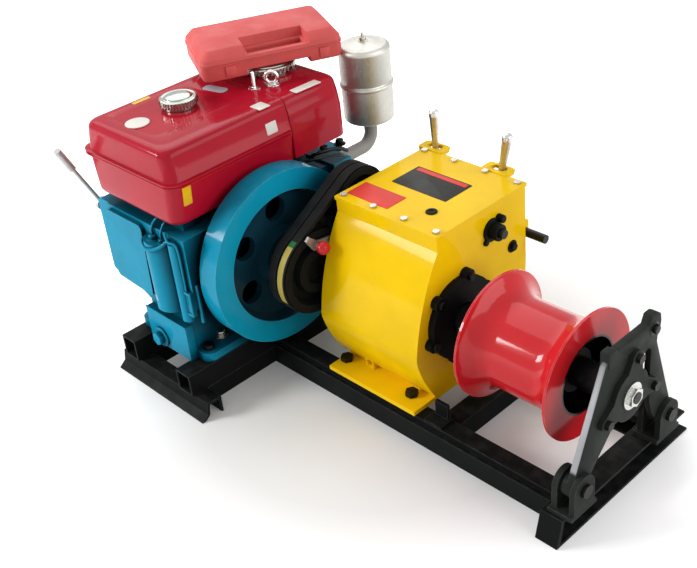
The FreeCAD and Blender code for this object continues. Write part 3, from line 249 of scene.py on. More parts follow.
def piece(name, shapes, finish, body="frame", edge=0.0, segments=2, cutters=(), stands_for=()):
    """One visible piece, with cut-outs and rounded edges, that rides on a body."""
    item = mesh_item(name, shapes)
    for i, cutter in enumerate(cutters):
        tool = mesh_item(f"{name}_cutter_{i}", cutter)
        cut = item.modifiers.new("cut", "BOOLEAN")
        cut.operation = "DIFFERENCE"
        cut.solver = "EXACT"
        cut.object = tool
        bake_modifiers(item)
        bpy.data.objects.remove(tool)
    if edge:
        rounding = item.modifiers.new("edge", "BEVEL")
        rounding.width = edge * MM
        rounding.segments = segments
        rounding.limit_method = "ANGLE"
        rounding.angle_limit = SMOOTH_ANGLE
        rounding.use_clamp_overlap = True
        bake_modifiers(item)
    item.data.shade_smooth()
    item.data.set_sharp_from_angle(angle=SMOOTH_ANGLE)
    item.data.materials.append(finish)
    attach(item, body)
    if stands_for:
        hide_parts(*stands_for)


# Finishes

EDGE_SPAN = (0.02, 0.2)
HOLLOW_SPAN = (0.42, 0.95)


class Finish:
    """A material whose nodes are added one by one."""

    def __init__(self, name):
        self.material = bpy.data.materials.new(name)
        self.material.use_nodes = True
        self.tree = self.material.node_tree
        self.shader = self.tree.nodes["Principled BSDF"]
        self.place = self.node("ShaderNodeTexCoord").outputs["Object"]
        self.facing = self.node("ShaderNodeNewGeometry").outputs["Normal"]

    def node(self, kind, **settings):
        node = self.tree.nodes.new(kind)
        for key, value in settings.items():
            setattr(node, key, value)
        return node

    def feed(self, socket, value):
        """Link a socket to another one, or set its value."""
        if isinstance(value, bpy.types.NodeSocket):
            self.tree.links.new(value, socket)
        else:
            socket.default_value = value

    def noise(self, scale, detail=3.0):
        node = self.node("ShaderNodeTexNoise")
        node.inputs["Scale"].default_value = scale
        node.inputs["Detail"].default_value = detail
        self.feed(node.inputs["Vector"], self.place)
        return node.outputs["Fac"]

    def span(self, value, low, high, to_low=0.0, to_high=1.0):
        """A value's range mapped to another, clamped."""
        node = self.node("ShaderNodeMapRange")
        self.feed(node.inputs["Value"], value)
        for key, number in zip(("From Min", "From Max", "To Min", "To Max"), (low, high, to_low, to_high)):
            node.inputs[key].default_value = number
        return node.outputs["Result"]

    def sum(self, operation, first, second=0.0):
        """The result of a math operation on two values."""
        node = self.node("ShaderNodeMath", operation=operation)
        self.feed(node.inputs[0], first)
        self.feed(node.inputs[1], second)
        return node.outputs["Value"]

    def mix(self, factor, first, second):
        """One colour blended into another."""
        node = self.node("ShaderNodeMix", data_type="RGBA")
        self.feed(node.inputs["Factor"], factor)
        colours = [socket for socket in node.inputs if socket.type == "RGBA"]
        self.feed(colours[0], first)
        self.feed(colours[1], second)
        return [socket for socket in node.outputs if socket.type == "RGBA"][0]

    def axis(self, vector, name):
        node = self.node("ShaderNodeSeparateXYZ")
        self.feed(node.inputs["Vector"], vector)
        return node.outputs[name]

    def round_edges(self, radius):
        """Normals that bend over edges as if they were rounded."""
        node = self.node("ShaderNodeBevel", samples=4)
        node.inputs["Radius"].default_value = radius * MM
        return node.outputs["Normal"]

    def edges(self, radius):
        """White along the edges and corners."""
        dot = self.node("ShaderNodeVectorMath", operation="DOT_PRODUCT")
        self.feed(dot.inputs[0], self.round_edges(radius))
        self.feed(dot.inputs[1], self.facing)
        return self.span(self.sum("SUBTRACT", 1.0, dot.outputs["Value"]), *EDGE_SPAN)

    def corners(self, reach):
        """A mask for painted shade: white in hollows and where pieces meet."""
        node = self.node("ShaderNodeAmbientOcclusion", samples=6)
        node.inputs["Distance"].default_value = reach * MM
        return self.span(node.outputs["AO"], *HOLLOW_SPAN, 1.0, 0.0)

    def bump(self, height, depth, normal):
        node = self.node("ShaderNodeBump")
        node.inputs["Strength"].default_value = 1.0
        node.inputs["Distance"].default_value = depth * MM
        self.feed(node.inputs["Height"], height)
        self.feed(node.inputs["Normal"], normal)
        return node.outputs["Normal"]

    def radius_from(self, y, z):
        """Distance from an axis along X, in millimetres of the skid."""
        centre = at(0.0, y, z)
        parts = []
        for name, middle in (("Y", centre.y), ("Z", centre.z)):
            offset = self.sum("SUBTRACT", self.axis(self.place, name), middle)
            parts.append(self.sum("MULTIPLY", offset, offset))
        return self.sum("MULTIPLY", self.sum("SQRT", self.sum("ADD", *parts)), 1.0 / MM)

    def set(self, **values):
        for name, value in values.items():
            self.feed(self.shader.inputs[name.replace("_", " ")], value)


def shade(colour, factor):
    """A lighter or darker colour, with full alpha."""
    return tuple(min(1.0, channel * factor) for channel in colour[:3]) + (1.0,)


DUST = (0.42, 0.40, 0.36, 1.0)
PEEL_DEPTH, COAT_ROUGHNESS = 0.05, 0.08
# Reach and darkness of the painted shade in hollows
HOLLOW_SHADE_REACH, HOLLOW_SHADE_FACTOR = 95.0, 0.10


def paint(name, colour, gloss=0.28, coat=0.2, grain=0.0, edge=1.2, wear=None, wear_amount=0.0, dust=0.04,
          second=None, mask=None, shine=0.04, shade_in_hollows=0.0):
    """Sprayed paint: uneven tone, dust, worn edges, painted shade in hollows, a second colour where the mask
    is white, orange peel and cast grain."""
    f = Finish(name)
    cloud = f.span(f.noise(7.0, 4.0), 0.3, 0.7)
    colours = f.mix(cloud, shade(colour, 0.9), shade(colour, 1.08))
    upward = f.span(f.axis(f.facing, "Z"), 0.6, 1.0)
    dusty = f.sum("MULTIPLY", upward, f.span(f.noise(38.0, 6.0), 0.42, 0.72, 0.0, dust))
    colours = f.mix(dusty, colours, DUST)
    rough = f.span(f.noise(22.0, 5.0), 0.3, 0.75, gloss * 0.75, gloss * 1.35)
    if wear:
        chips = f.span(f.noise(55.0, 6.0), 0.56 - wear_amount * 0.25, 0.66)
        rub = f.sum("MULTIPLY", f.edges(edge * 1.6), f.sum("MAXIMUM", chips, wear_amount * 0.6))
        colours = f.mix(rub, colours, wear)
        rough = f.sum("ADD", rough, f.sum("MULTIPLY", rub, 0.1))
    # Painted shade: the colour darkened in hollows and between parts
    if shade_in_hollows:
        hollows = f.sum("MULTIPLY", f.corners(HOLLOW_SHADE_REACH), shade_in_hollows)
        colours = f.mix(hollows, colours, shade(colour, HOLLOW_SHADE_FACTOR))
    if second:
        inner = f.mix(cloud, shade(second, 0.75), shade(second, 1.2))
        colours = f.mix(mask(f), colours, inner)
    normal = f.bump(f.noise(420.0, 2.0), PEEL_DEPTH, f.round_edges(edge))
    if grain:
        normal = f.bump(f.noise(230.0, 5.0), grain, normal)
    f.set(Base_Color=colours, Roughness=rough, Normal=normal, Coat_Weight=coat)
    f.shader.inputs["Coat Roughness"].default_value = COAT_ROUGHNESS
    f.shader.inputs["Specular IOR Level"].default_value = shine
    return f.material


STAIN = (0.12, 0.10, 0.08, 1.0)
METAL_EDGE, TOOL_MARKS = 0.6, 0.03


def metal(name, colour, rough, stain=STAIN, stain_amount=0.15):
    """Bare or plated metal with stains and fine tool marks."""
    f = Finish(name)
    spots = f.span(f.noise(45.0, 6.0), 0.55, 0.8, 0.0, stain_amount)
    tone = f.mix(f.span(f.noise(12.0, 4.0), 0.3, 0.7), shade(colour, 0.88), shade(colour, 1.06))
    colours = f.mix(spots, tone, stain)
    marks = f.noise(300.0, 3.0)
    roughness = f.sum("ADD", f.span(marks, 0.3, 0.7, rough * 0.7, rough * 1.3),
                      f.sum("MULTIPLY", spots, 0.6))
    f.set(Base_Color=colours, Roughness=roughness, Metallic=1.0,
          Normal=f.bump(marks, TOOL_MARKS, f.round_edges(METAL_EDGE)))
    return f.material


RUBBED_RUBBER, RUBBER_SHINE = (0.10, 0.10, 0.10, 1.0), 0.08


def rubber(name, colour):
    """Belt rubber with cloth grain and pale rubbed edges."""
    f = Finish(name)
    colours = f.mix(f.span(f.noise(30.0, 5.0), 0.35, 0.7), shade(colour, 0.8), shade(colour, 1.7))
    colours = f.mix(f.sum("MULTIPLY", f.edges(1.2), 0.35), colours, RUBBED_RUBBER)
    f.set(Base_Color=colours, Roughness=f.span(f.noise(60.0), 0.3, 0.7, 0.5, 0.75),
          Normal=f.bump(f.noise(600.0, 2.0), 0.12, f.round_edges(0.8)))
    f.shader.inputs["Specular IOR Level"].default_value = RUBBER_SHINE
    return f.material


PLASTIC_EDGE = 1.0


def plastic(name, colour, gloss=0.35, grain=0.12, shine=0.3):
    """Moulded plastic with a leathery grain and pale scuffed edges."""
    f = Finish(name)
    colours = f.mix(f.span(f.noise(9.0, 3.0), 0.3, 0.7), shade(colour, 0.93), shade(colour, 1.06))
    scuffs = f.sum("MULTIPLY", f.edges(PLASTIC_EDGE), f.span(f.noise(80.0, 4.0), 0.45, 0.65, 0.05, 0.35))
    colours = f.mix(scuffs, colours, shade(colour, 1.6))
    f.set(Base_Color=colours, Roughness=f.span(f.noise(25.0, 4.0), 0.3, 0.7, gloss * 0.85, gloss * 1.25),
          Normal=f.bump(f.noise(700.0, 3.0), grain, f.round_edges(PLASTIC_EDGE)))
    f.shader.inputs["Specular IOR Level"].default_value = shine
    return f.material


# Masks of second colours, among them painted shade and a painted highlight

# Radii of the painted shade round the flywheel: none beyond the first, full inside the second
SHADE_CLEAR_RADIUS, SHADE_FULL_RADIUS = 285.0, 190.0
RIM_INNER = 157.0
DRUM_BORE = 84.0
MASK_EDGE = 2.0
# Where the painted highlight on the near leg starts: its Y edge and its lowest height
HIGHLIGHT_EDGE_Y = -52.0
HIGHLIGHT_LOW = 150.0


def painted_shade_round_flywheel(f):
    """Painted shade on the casting's right face behind and round the flywheel, fading out past its rim."""
    inside = f.span(f.radius_from(*CRANK), SHADE_CLEAR_RADIUS, SHADE_FULL_RADIUS)
    return f.sum("MULTIPLY", inside, f.span(f.axis(f.facing, "X"), 0.9, 0.95))


def flywheel_dish(f):
    """The flywheel inside its rim."""
    return f.span(f.radius_from(*CRANK), RIM_INNER, RIM_INNER - MASK_EDGE)


def drum_inside(f):
    """The drum's bore."""
    return f.span(f.radius_from(*DRUM_AXIS), DRUM_BORE, DRUM_BORE - MASK_EDGE)


def painted_highlight_face(f):
    """A painted highlight: the near leg's side face, near its edge and above a height, in pale grey."""
    sideways = f.span(f.axis(f.facing, "Y"), -0.8, -0.88)
    nearby = f.span(f.axis(f.place, "Y"), at(0, HIGHLIGHT_EDGE_Y, 0).y, at(0, HIGHLIGHT_EDGE_Y - 4.0, 0).y)
    high = f.span(f.axis(f.place, "Z"), at(0, 0, HIGHLIGHT_LOW).z, at(0, 0, HIGHLIGHT_LOW + 6.0).z)
    return f.sum("MULTIPLY", f.sum("MULTIPLY", sideways, nearby), high)


CRIMSON = (0.42, 0.006, 0.022)
BLUE = (0.0045, 0.270, 0.4275)
YELLOW = (0.88, 0.56, 0.003)
DRUM_RED = (0.58, 0.014, 0.020)
CASE_RED = (0.62, 0.085, 0.080)
SILVER = (0.52, 0.51, 0.47)
PIPE_GREY = (0.34, 0.34, 0.32)
BLACK = (0.007, 0.008, 0.008)
CHARCOAL = (0.022, 0.026, 0.023)
HIGHLIGHT_GREY = (0.45, 0.46, 0.48)

hood_red = paint("hood_red", CRIMSON, gloss=0.22, coat=0.32, dust=0.01, shine=0.02)
# engine_blue and flywheel_blue: shade_in_hollows paints shade into their hollows and between parts
engine_blue = paint("engine_blue", BLUE, gloss=0.28, coat=0.14, grain=0.10, shine=0.01, shade_in_hollows=0.92,
                    wear=(0.10, 0.50, 0.66, 1.0), wear_amount=0.7,
                    # the second colour is painted shade on the right face round the flywheel
                    second=(0.002, 0.006, 0.008), mask=painted_shade_round_flywheel)
flywheel_blue = paint("flywheel_blue", BLUE, gloss=0.25, coat=0.2, grain=0.04, shine=0.01, shade_in_hollows=0.7,
                      wear=(0.25, 0.58, 0.68, 1.0), wear_amount=0.7,
                      second=(0.006, 0.034, 0.054), mask=flywheel_dish)
box_yellow = paint("box_yellow", YELLOW, gloss=0.2, coat=0.18, dust=0.0, shine=0.01,
                   wear=(0.92, 0.70, 0.12, 1.0), wear_amount=0.4)
drum_red = paint("drum_red", DRUM_RED, gloss=0.2, coat=0.5, dust=0.0, wear=(0.80, 0.30, 0.26, 1.0),
                 wear_amount=0.7, second=(0.003, 0.003, 0.003), mask=drum_inside)
skid_black = paint("skid_black", BLACK, gloss=0.42, coat=0.0, dust=0.03, edge=1.6,
                   wear=(0.10, 0.10, 0.10, 1.0), wear_amount=0.7)
# support_grey: its pale second colour is a painted highlight on the near leg's side face
support_grey = paint("support_grey", CHARCOAL, gloss=0.45, coat=0.0, grain=0.2, dust=0.02, edge=1.8,
                     wear=(0.14, 0.14, 0.14, 1.0), wear_amount=0.7, second=HIGHLIGHT_GREY, mask=painted_highlight_face)
plain_grey = paint("plain_grey", CHARCOAL, gloss=0.45, coat=0.0, grain=0.2, dust=0.02, edge=1.8,
                   wear=(0.12, 0.12, 0.12, 1.0), wear_amount=0.7)
cast_black = paint("cast_black", BLACK, gloss=0.45, coat=0.0, grain=0.18, dust=0.0,
                   wear=(0.03, 0.03, 0.03, 1.0), wear_amount=0.4, shine=0.06)
cleaner_silver = metal("cleaner_silver", SILVER, 0.5, stain=(0.30, 0.29, 0.26, 1.0), stain_amount=0.1)
pipe_grey = paint("pipe_grey", PIPE_GREY, gloss=0.36, coat=0.1, grain=0.08, dust=0.03)
bright_steel = metal("bright_steel", (0.62, 0.62, 0.60), 0.28)
chrome = metal("chrome", (0.80, 0.80, 0.78), 0.10, stain_amount=0.08)
cap_steel = metal("cap_steel", (0.36, 0.39, 0.35), 0.16, stain_amount=0.1)
zinc = metal("zinc", (0.50, 0.48, 0.42), 0.34, stain_amount=0.3)
satin_zinc = metal("satin_zinc", (0.44, 0.44, 0.43), 0.5, stain_amount=0.2)
dark_steel = metal("dark_steel", (0.028, 0.028, 0.028), 0.42, stain_amount=0.3)
lever_steel = metal("lever_steel", (0.58, 0.53, 0.43), 0.34, stain=(0.20, 0.15, 0.08, 1.0),
                    stain_amount=0.4)
belt_rubber = rubber("belt_rubber", (0.010, 0.010, 0.010))
case_plastic = plastic("case_plastic", CASE_RED, gloss=0.62, shine=0.45)
knob_red = plastic("knob_red", (0.55, 0.012, 0.02), gloss=0.22, grain=0.04)
plate_white = plastic("plate_white", (0.72, 0.70, 0.64), gloss=0.3, grain=0.05)
plate_yellow = plastic("plate_yellow", (0.80, 0.48, 0.01), gloss=0.3, grain=0.05)
plate_dark = plastic("plate_dark", (0.022, 0.022, 0.020), gloss=0.3, grain=0.02, shine=0.12)
plate_red = plastic("plate_red", (0.74, 0.055, 0.04), gloss=0.3, grain=0.02, shine=0.15)
plate_silver = plastic("plate_silver", (0.42, 0.45, 0.49), gloss=0.4, grain=0.05)
strip_yellow = plastic("strip_yellow", (0.45, 0.36, 0.06), gloss=0.45, grain=0.1)
strip_green = plastic("strip_green", (0.012, 0.14, 0.03), gloss=0.45, grain=0.1)

FINISHES = {
    hood_red: ("fuel_tank_pan", "fuel_tank_top", "radiator_hood"),
    engine_blue: ("crankcase", "rear_cover", "gear_cover", "cylinder_head", "valve_cover"),
    flywheel_blue: ("flywheel",),
    box_yellow: ("gearbox_housing", "gearbox_top_plate"),
    drum_red: ("drum",),
    skid_black: ("rails", "rail_bars", "front_cross_channel", "drum_cross_beam", "runners", "engine_tubes",
                 "floor_tubes", "stop_bracket"),
    support_grey: ("outboard_support",),
    plain_grey: ("clevises", "bearing_housing"),
    cast_black: ("output_bearing_flange", "drive_collar", "crank_pulley", "input_pulley", "drum_hub"),
    cleaner_silver: ("air_cleaner",),
    pipe_grey: ("intake_elbow",),
    bright_steel: ("shaft_end_collar", "counter_gear", "counter_pinion_shaft", "input_pinion_shaft",
                   "output_gear", "main_bearings", "gearbox_bearings", "support_bearing"),
    cap_steel: ("filler_cap", "radiator_cap"),
    lever_steel: ("speed_lever", "shift_lever"),
    zinc: ("top_plate_screws", "lever_pivots"),
    satin_zinc: ("throttle_lever", "clutch_lever"),
    dark_steel: ("engine_bolts", "drive_bolts", "gearbox_plugs", "clevis_pins", "selector_rod",
                 "shift_rod", "crankshaft", "drum_shaft"),
    belt_rubber: ("inner_drive_belt", "outer_drive_belt"),
    knob_red: ("clutch_knob",),
    case_plastic: ("tool_case_tray", "tool_case_lid"),
}
for finish, names in FINISHES.items():
    for name in names:
        for material_slot in frame["nodes"][name].material_slots:
            material_slot.material = finish


# Fuel tank and radiator hood

TANK_LEFT, TANK_RIGHT, TANK_NEAR, TANK_SPLIT, TANK_FAR = -236.0, 72.0, -330.0, 4.5, 171.0
TANK_BOTTOM, TANK_SEAM, TANK_TOP, HOOD_BOTTOM = 437.0, 545.0, 612.0, 472.0
TANK_FLARE, HOOD_ROUNDING, SPLIT_ROUNDING, CROWN = 10.0, 30.0, 2.5, 17.0
BELLY, BELLY_STEPS, CROWN_STEPS = 16.0, 5, 6
TANK_CORNERS = (HOOD_ROUNDING, SPLIT_ROUNDING)
COVER_CORNERS = (SPLIT_ROUNDING, HOOD_ROUNDING)
LIP, LIP_THICK, LIP_GAP = 10.0, 4.6, 1.0
PANEL, PANEL_ROUNDING = (-190.0, -22.0, -280.0, -70.0), 24.0


def hood_ring(y0, y1, spread, z, corners, ends=(0.0, 0.0)):
    """The hood's outline at a height, wider by spread on both sides and drawn in at its ends."""
    near, far = corners
    outline = rounded_rect(TANK_LEFT - spread, TANK_RIGHT + spread, y0 + ends[0], y1 - ends[1], far, 8, near)
    return level(outline, z)


def crown_rings(y0, y1, spread, corners, ends):
    """Rings of the rounded bend from the walls to the top."""
    rings = []
    for i in range(CROWN_STEPS + 1):
        angle = math.radians(90.0 * i / CROWN_STEPS)
        inset = CROWN * (1.0 - math.cos(angle))
        drop = CROWN * (1.0 - math.sin(angle))
        drawn = [max(corner - inset * 0.5, 2.0) for corner in corners]
        rings.append(hood_ring(y0, y1, spread - inset, TANK_TOP - drop, drawn,
                               (inset * ends[0], inset * ends[1])))
    return rings


def tank_pan():
    """The tank's lower pressing with a rounded belly."""
    rings = []
    for i in range(BELLY_STEPS + 1):
        angle = math.radians(90.0 * i / BELLY_STEPS)
        inset = BELLY * (1.0 - math.sin(angle))
        height = TANK_BOTTOM + BELLY * (1.0 - math.cos(angle))
        rings.append(hood_ring(TANK_NEAR, TANK_SPLIT, -inset, height, TANK_CORNERS, (inset, inset)))
    for share in (0.3, 0.6, 1.0):
        height = TANK_BOTTOM + BELLY + (TANK_SEAM - TANK_BOTTOM - BELLY) * share
        rings.append(hood_ring(TANK_NEAR, TANK_SPLIT, TANK_FLARE * share, height, TANK_CORNERS))
    piece("tank_pressing_pan", [loft(rings)], hood_red, stands_for=("fuel_tank_pan",))


def seam_lip():
    """The folded seam: two sheet edges round the tank."""
    shapes = []
    end = TANK_SPLIT - 8.0
    for low in (TANK_SEAM - 2 * LIP_THICK - LIP_GAP, TANK_SEAM - LIP_THICK):
        high = low + LIP_THICK
        bead = [(low, LIP - 2.0), (low + 0.6, LIP), (high - 0.6, LIP), (high, LIP - 2.0)]
        inner = [hood_ring(TANK_NEAR, end, TANK_FLARE - 4.0, z, TANK_CORNERS, (4.0, 4.0))
                 for z in (low, high)]
        outer = [hood_ring(TANK_NEAR, end, TANK_FLARE + out, z, (HOOD_ROUNDING + out * 0.6, SPLIT_ROUNDING),
                           (-0.8 * out, 0.0)) for z, out in bead]
        shapes.append(loft([inner[0], *outer, inner[1]]))
    piece("tank_seam_lip", shapes, hood_red)


def tank_top():
    """The upper pressing: walls drawn in, a rounded crown and a pressed panel round the filler."""
    rings = [hood_ring(TANK_NEAR, TANK_SPLIT, TANK_FLARE, TANK_SEAM, TANK_CORNERS),
             hood_ring(TANK_NEAR, TANK_SPLIT, TANK_FLARE - 3.0, TANK_SEAM + 6.0, TANK_CORNERS, (2.0, 0.0)),
             hood_ring(TANK_NEAR, TANK_SPLIT, 2.0, TANK_SEAM + 34.0, TANK_CORNERS, (3.0, 0.0))]
    rings += crown_rings(TANK_NEAR + 3.0, TANK_SPLIT, -3.0, TANK_CORNERS, (1.0, 0.0))
    x0, x1, y0, y1 = PANEL
    for grow, sink in ((6.0, 0.0), (3.5, -0.9), (0.0, -1.0)):
        outline = rounded_rect(x0 - grow, x1 + grow, y0 - grow, y1 + grow, PANEL_ROUNDING, 8)
        rings.append(level(outline, TANK_TOP + sink))
    piece("tank_pressing_top", [loft(rings)], hood_red, stands_for=("fuel_tank_top",))


def radiator_cover():
    """The plain cover over the radiator."""
    near = TANK_SPLIT + 0.7
    rings = [hood_ring(near, TANK_FAR, TANK_FLARE, HOOD_BOTTOM, COVER_CORNERS),
             hood_ring(near, TANK_FAR, TANK_FLARE, TANK_SEAM, COVER_CORNERS),
             hood_ring(near, TANK_FAR, 3.0, TANK_SEAM + 34.0, COVER_CORNERS)]
    rings += crown_rings(near, TANK_FAR, -3.0, COVER_CORNERS, (0.0, 1.0))
    piece("radiator_cover", [loft(rings)], hood_red, stands_for=("radiator_hood",))


tank_pan()
seam_lip()
tank_top()
radiator_cover()


# Blank plates on the hood, in place of its labels

SIDE_PROFILE = ((TANK_BOTTOM + BELLY, 0.0), (TANK_SEAM, TANK_FLARE), (TANK_SEAM + 6.0, TANK_FLARE - 3.0),
                (TANK_SEAM + 34.0, 2.0), (TANK_TOP - CROWN, -3.0))
PLATE_SEAT = -0.6


def on_hood(x, y, turn=0.0):
    """A place on the hood's flat top."""
    return stand(x, y, TANK_TOP, "z", turn)


def on_side(y, z):
    """A place on the tank's right side, with local X along the skid's Y and local Y up the wall."""
    for (z0, spread0), (z1, spread1) in zip(SIDE_PROFILE, SIDE_PROFILE[1:]):
        if z0 <= z <= z1:
            out = spread0 + (spread1 - spread0) * (z - z0) / (z1 - z0)
            lean = math.atan2(spread1 - spread0, z1 - z0)
            return Matrix.Translation((TANK_RIGHT + out, y, z)) @ Matrix.Rotation(lean, 4, "Y") @ AXES["x"]


def blank_plate(name, wide, tall, rounding, place, finish, thick=0.9):
    """A thin plate without marks, seated a little into what carries it."""
    outline = rounded_rect(-wide / 2, wide / 2, -tall / 2, tall / 2, rounding, 6)
    piece(name, [placed(prism(outline, PLATE_SEAT, thick), place)], finish, edge=0.3)


blank_plate("tank_round_plate", 54.0, 54.0, 26.9, on_hood(-110.0, -263.0), plate_white, 1.4)
blank_plate("tank_silver_plate", 64.0, 26.0, 10.0, on_hood(-112.0, -46.0, 12.0), plate_silver)
blank_plate("tank_corner_plate", 34.0, 31.0, 2.0, on_hood(51.0, -50.0), plate_white)
blank_plate("tank_side_plate", 30.0, 26.0, 2.0, on_side(-47.0, 566.0), plate_white)
blank_plate("cover_label_plate", 74.0, 24.0, 2.0, on_hood(55.0, 80.0, 88.0), plate_white)
blank_plate("tank_tag_plate", 46.0, 13.0, 2.0, on_hood(-206.0, -185.0, 90.0), plate_yellow)
blank_plate("tank_yellow_plate", 22.0, 46.0, 2.0, on_side(-292.0, 508.0), plate_yellow)


# Lifting ring and the post beside it

RING_PLACE = (-18.0, 45.0)
RING_RADIUS, RING_WIRE, RING_TURN = 13.5, 4.6, 42.0
POST_PLACE, POST_TURN = (-34.0, 6.0), 25.0


def lifting_ring():
    """A round eye on a nut and a thin plate, turned to the right."""
    section = bow(0.0, RING_RADIUS, RING_WIRE, RING_WIRE, range(0, 360, 24))
    up = stand(*RING_PLACE, TANK_TOP, turn=RING_TURN)
    eye = placed(sleeve(section, 40), up @ stand(0.0, 0.0, RING_RADIUS + 5.0, "y"))
    plate = prism(rounded_rect(-20.0, 20.0, -9.0, 9.0, 5.0, 5), 0.0, 3.0)
    shapes = [eye, placed(plate, on_hood(*RING_PLACE)), *hex_bolt(17.0, 6.0, 1.6, up)]
    piece("lifting_ring_plated", shapes, chrome, edge=0.4, stands_for=("lifting_ring",))


def hood_post():
    """A slim post with a rounded top, on a narrow foot."""
    profile = [(0.0, 10.0), (2.5, 10.0), (3.5, 5.0), (6.0, 4.2), (38.0, 4.2), (40.5, 3.4), (41.5, 1.5)]
    foot = prism(rounded_rect(-15.0, 15.0, -5.0, 5.0, 4.0, 5), 0.0, 2.5)
    shapes = [placed(lathe(profile, 24), on_hood(*POST_PLACE)), placed(foot, on_hood(*POST_PLACE, POST_TURN))]
    piece("hood_post", shapes, chrome, edge=0.4)


lifting_ring()
hood_post()


# Caps

def screw_cap(name, x, y, radius, height):
    """A plated cap with a fluted rim and a domed top over a rolled ridge."""
    rim, roll = height * 0.30, height * 0.72
    profile = [(0.0, radius - 7.0), (rim - 2.0, radius - 7.0), (rim - 1.5, radius - 1.0), (rim, radius),
               (roll - 1.0, radius), (roll, radius - 0.6), (roll + 1.6, radius - 3.0),
               (roll + 1.8, radius - 6.0), (roll + 0.6, radius - 8.5), (roll + 1.2, radius - 11.0)]
    dome = bow(roll + 1.2, 0.0, height - roll - 1.2, radius - 11.0, (12, 26, 40, 55, 70, 84))
    shape = lathe(profile + dome, 144, ribs=36, rib_depth=1.8, ribbed=(3, 4))
    piece(f"{name}_plated", [placed(shape, on_hood(x, y))], cap_steel, name, stands_for=(name,))


screw_cap("filler_cap", -105.0, -152.0, 43.0, 30.0)
screw_cap("radiator_cap", -95.0, 105.0, 60.0, 24.6)


# Air cleaner

CAN_PLACE, CAN_LOW, CAN_TOP, CAN_RADIUS = (49.0, 273.0), 461.0, 655.0, 61.0
BEAD_SHARE = 0.47
CLAMP_LOW, CLAMP_TURN = CAN_LOW - 12.0, 50.0


def air_cleaner():
    """A two-part can: a rolled bead between its halves, a turned-over lid edge and a flat lid."""
    tall = CAN_TOP - CAN_LOW
    middle = tall * BEAD_SHARE
    bottom = [(10.0 * (1 - math.cos(math.radians(a))), CAN_RADIUS - 14.0 + 14.0 * math.sin(math.radians(a)))
              for a in range(0, 91, 15)]
    bead = bow(middle, CAN_RADIUS, 5.0, 3.2, range(-90, 91, 30))
    crease = [(middle + 8.0, CAN_RADIUS - 1.2), (middle + 10.0, CAN_RADIUS)]
    shoulder = [(tall - 22.0, CAN_RADIUS), (tall - 20.5, CAN_RADIUS + 0.8), (tall - 18.0, CAN_RADIUS + 0.8)]
    turn = bow(tall - 18.0, CAN_RADIUS - 11.2, 12.0, 12.0, range(15, 91, 15))
    lid = [(tall - 6.5, CAN_RADIUS - 15.0), (tall - 2.5, CAN_RADIUS - 30.0), (tall - 0.6, 22.0), (tall, 8.0)]
    can = placed(lathe(bottom + bead + crease + shoulder + turn + lid, 72), stand(*CAN_PLACE, CAN_LOW))
    piece("air_cleaner_can", [can], cleaner_silver, stands_for=("air_cleaner",))
    stud = placed(lathe([(0.0, 4.0), (20.0, 4.0), (21.0, 3.0)], 20), stand(*CAN_PLACE, CAN_TOP - 1.0))
    nut = hex_bolt(14.0, 8.0, 1.6, stand(*CAN_PLACE, CAN_TOP - 0.5))
    piece("air_cleaner_nut", [stud, *nut], zinc, edge=0.4)
    clamp = placed(lathe([(0.0, 18.0), (1.0, 19.2), (9.0, 19.2), (10.0, 18.0)], 40),
                   stand(*CAN_PLACE, CLAMP_LOW))
    screw = placed(block(-5.0, 5.0, -27.0, -17.0, 1.0, 9.0), stand(*CAN_PLACE, CLAMP_LOW, "z", CLAMP_TURN))
    piece("air_cleaner_clamp", [clamp, screw], pipe_grey, edge=0.6)


air_cleaner()


# Tool case

CASE_PLACE = Matrix.Translation((-121.5, 112.7, 637.0)) @ Matrix.Rotation(math.radians(63.7), 4, "Z")
CASE_LONG, CASE_WIDE, TRAY_TALL, LID_TALL = 328.0, 209.0, 37.0, 31.0
CASE_ROUNDING, CASE_FRONT = 18.0, -CASE_WIDE / 2
LATCHES = (-100.0, 120.0)
HANDLE_LEFT, HANDLE_RIGHT = -62.0, 86.0
GRIP_LEFT, GRIP_RIGHT = HANDLE_LEFT + 8.0, HANDLE_RIGHT - 8.0
GRIP_NEAR, GRIP_FAR = CASE_FRONT + 16.0, CASE_FRONT + 52.0


def case_ring(inset, z):
    """The case's outline at a height, drawn in on all sides."""
    rounding = CASE_ROUNDING - min(inset, CASE_ROUNDING - 4.0) * 0.5
    return level(rounded_rect(-CASE_LONG / 2 + inset, CASE_LONG / 2 - inset, -CASE_WIDE / 2 + inset,
                              CASE_WIDE / 2 - inset, rounding, 6), z)


def case_block(x0, x1, y0, y1, z0, z1):
    """A box in the case's own axes."""
    return placed(block(x0, x1, y0, y1, z0, z1), CASE_PLACE)


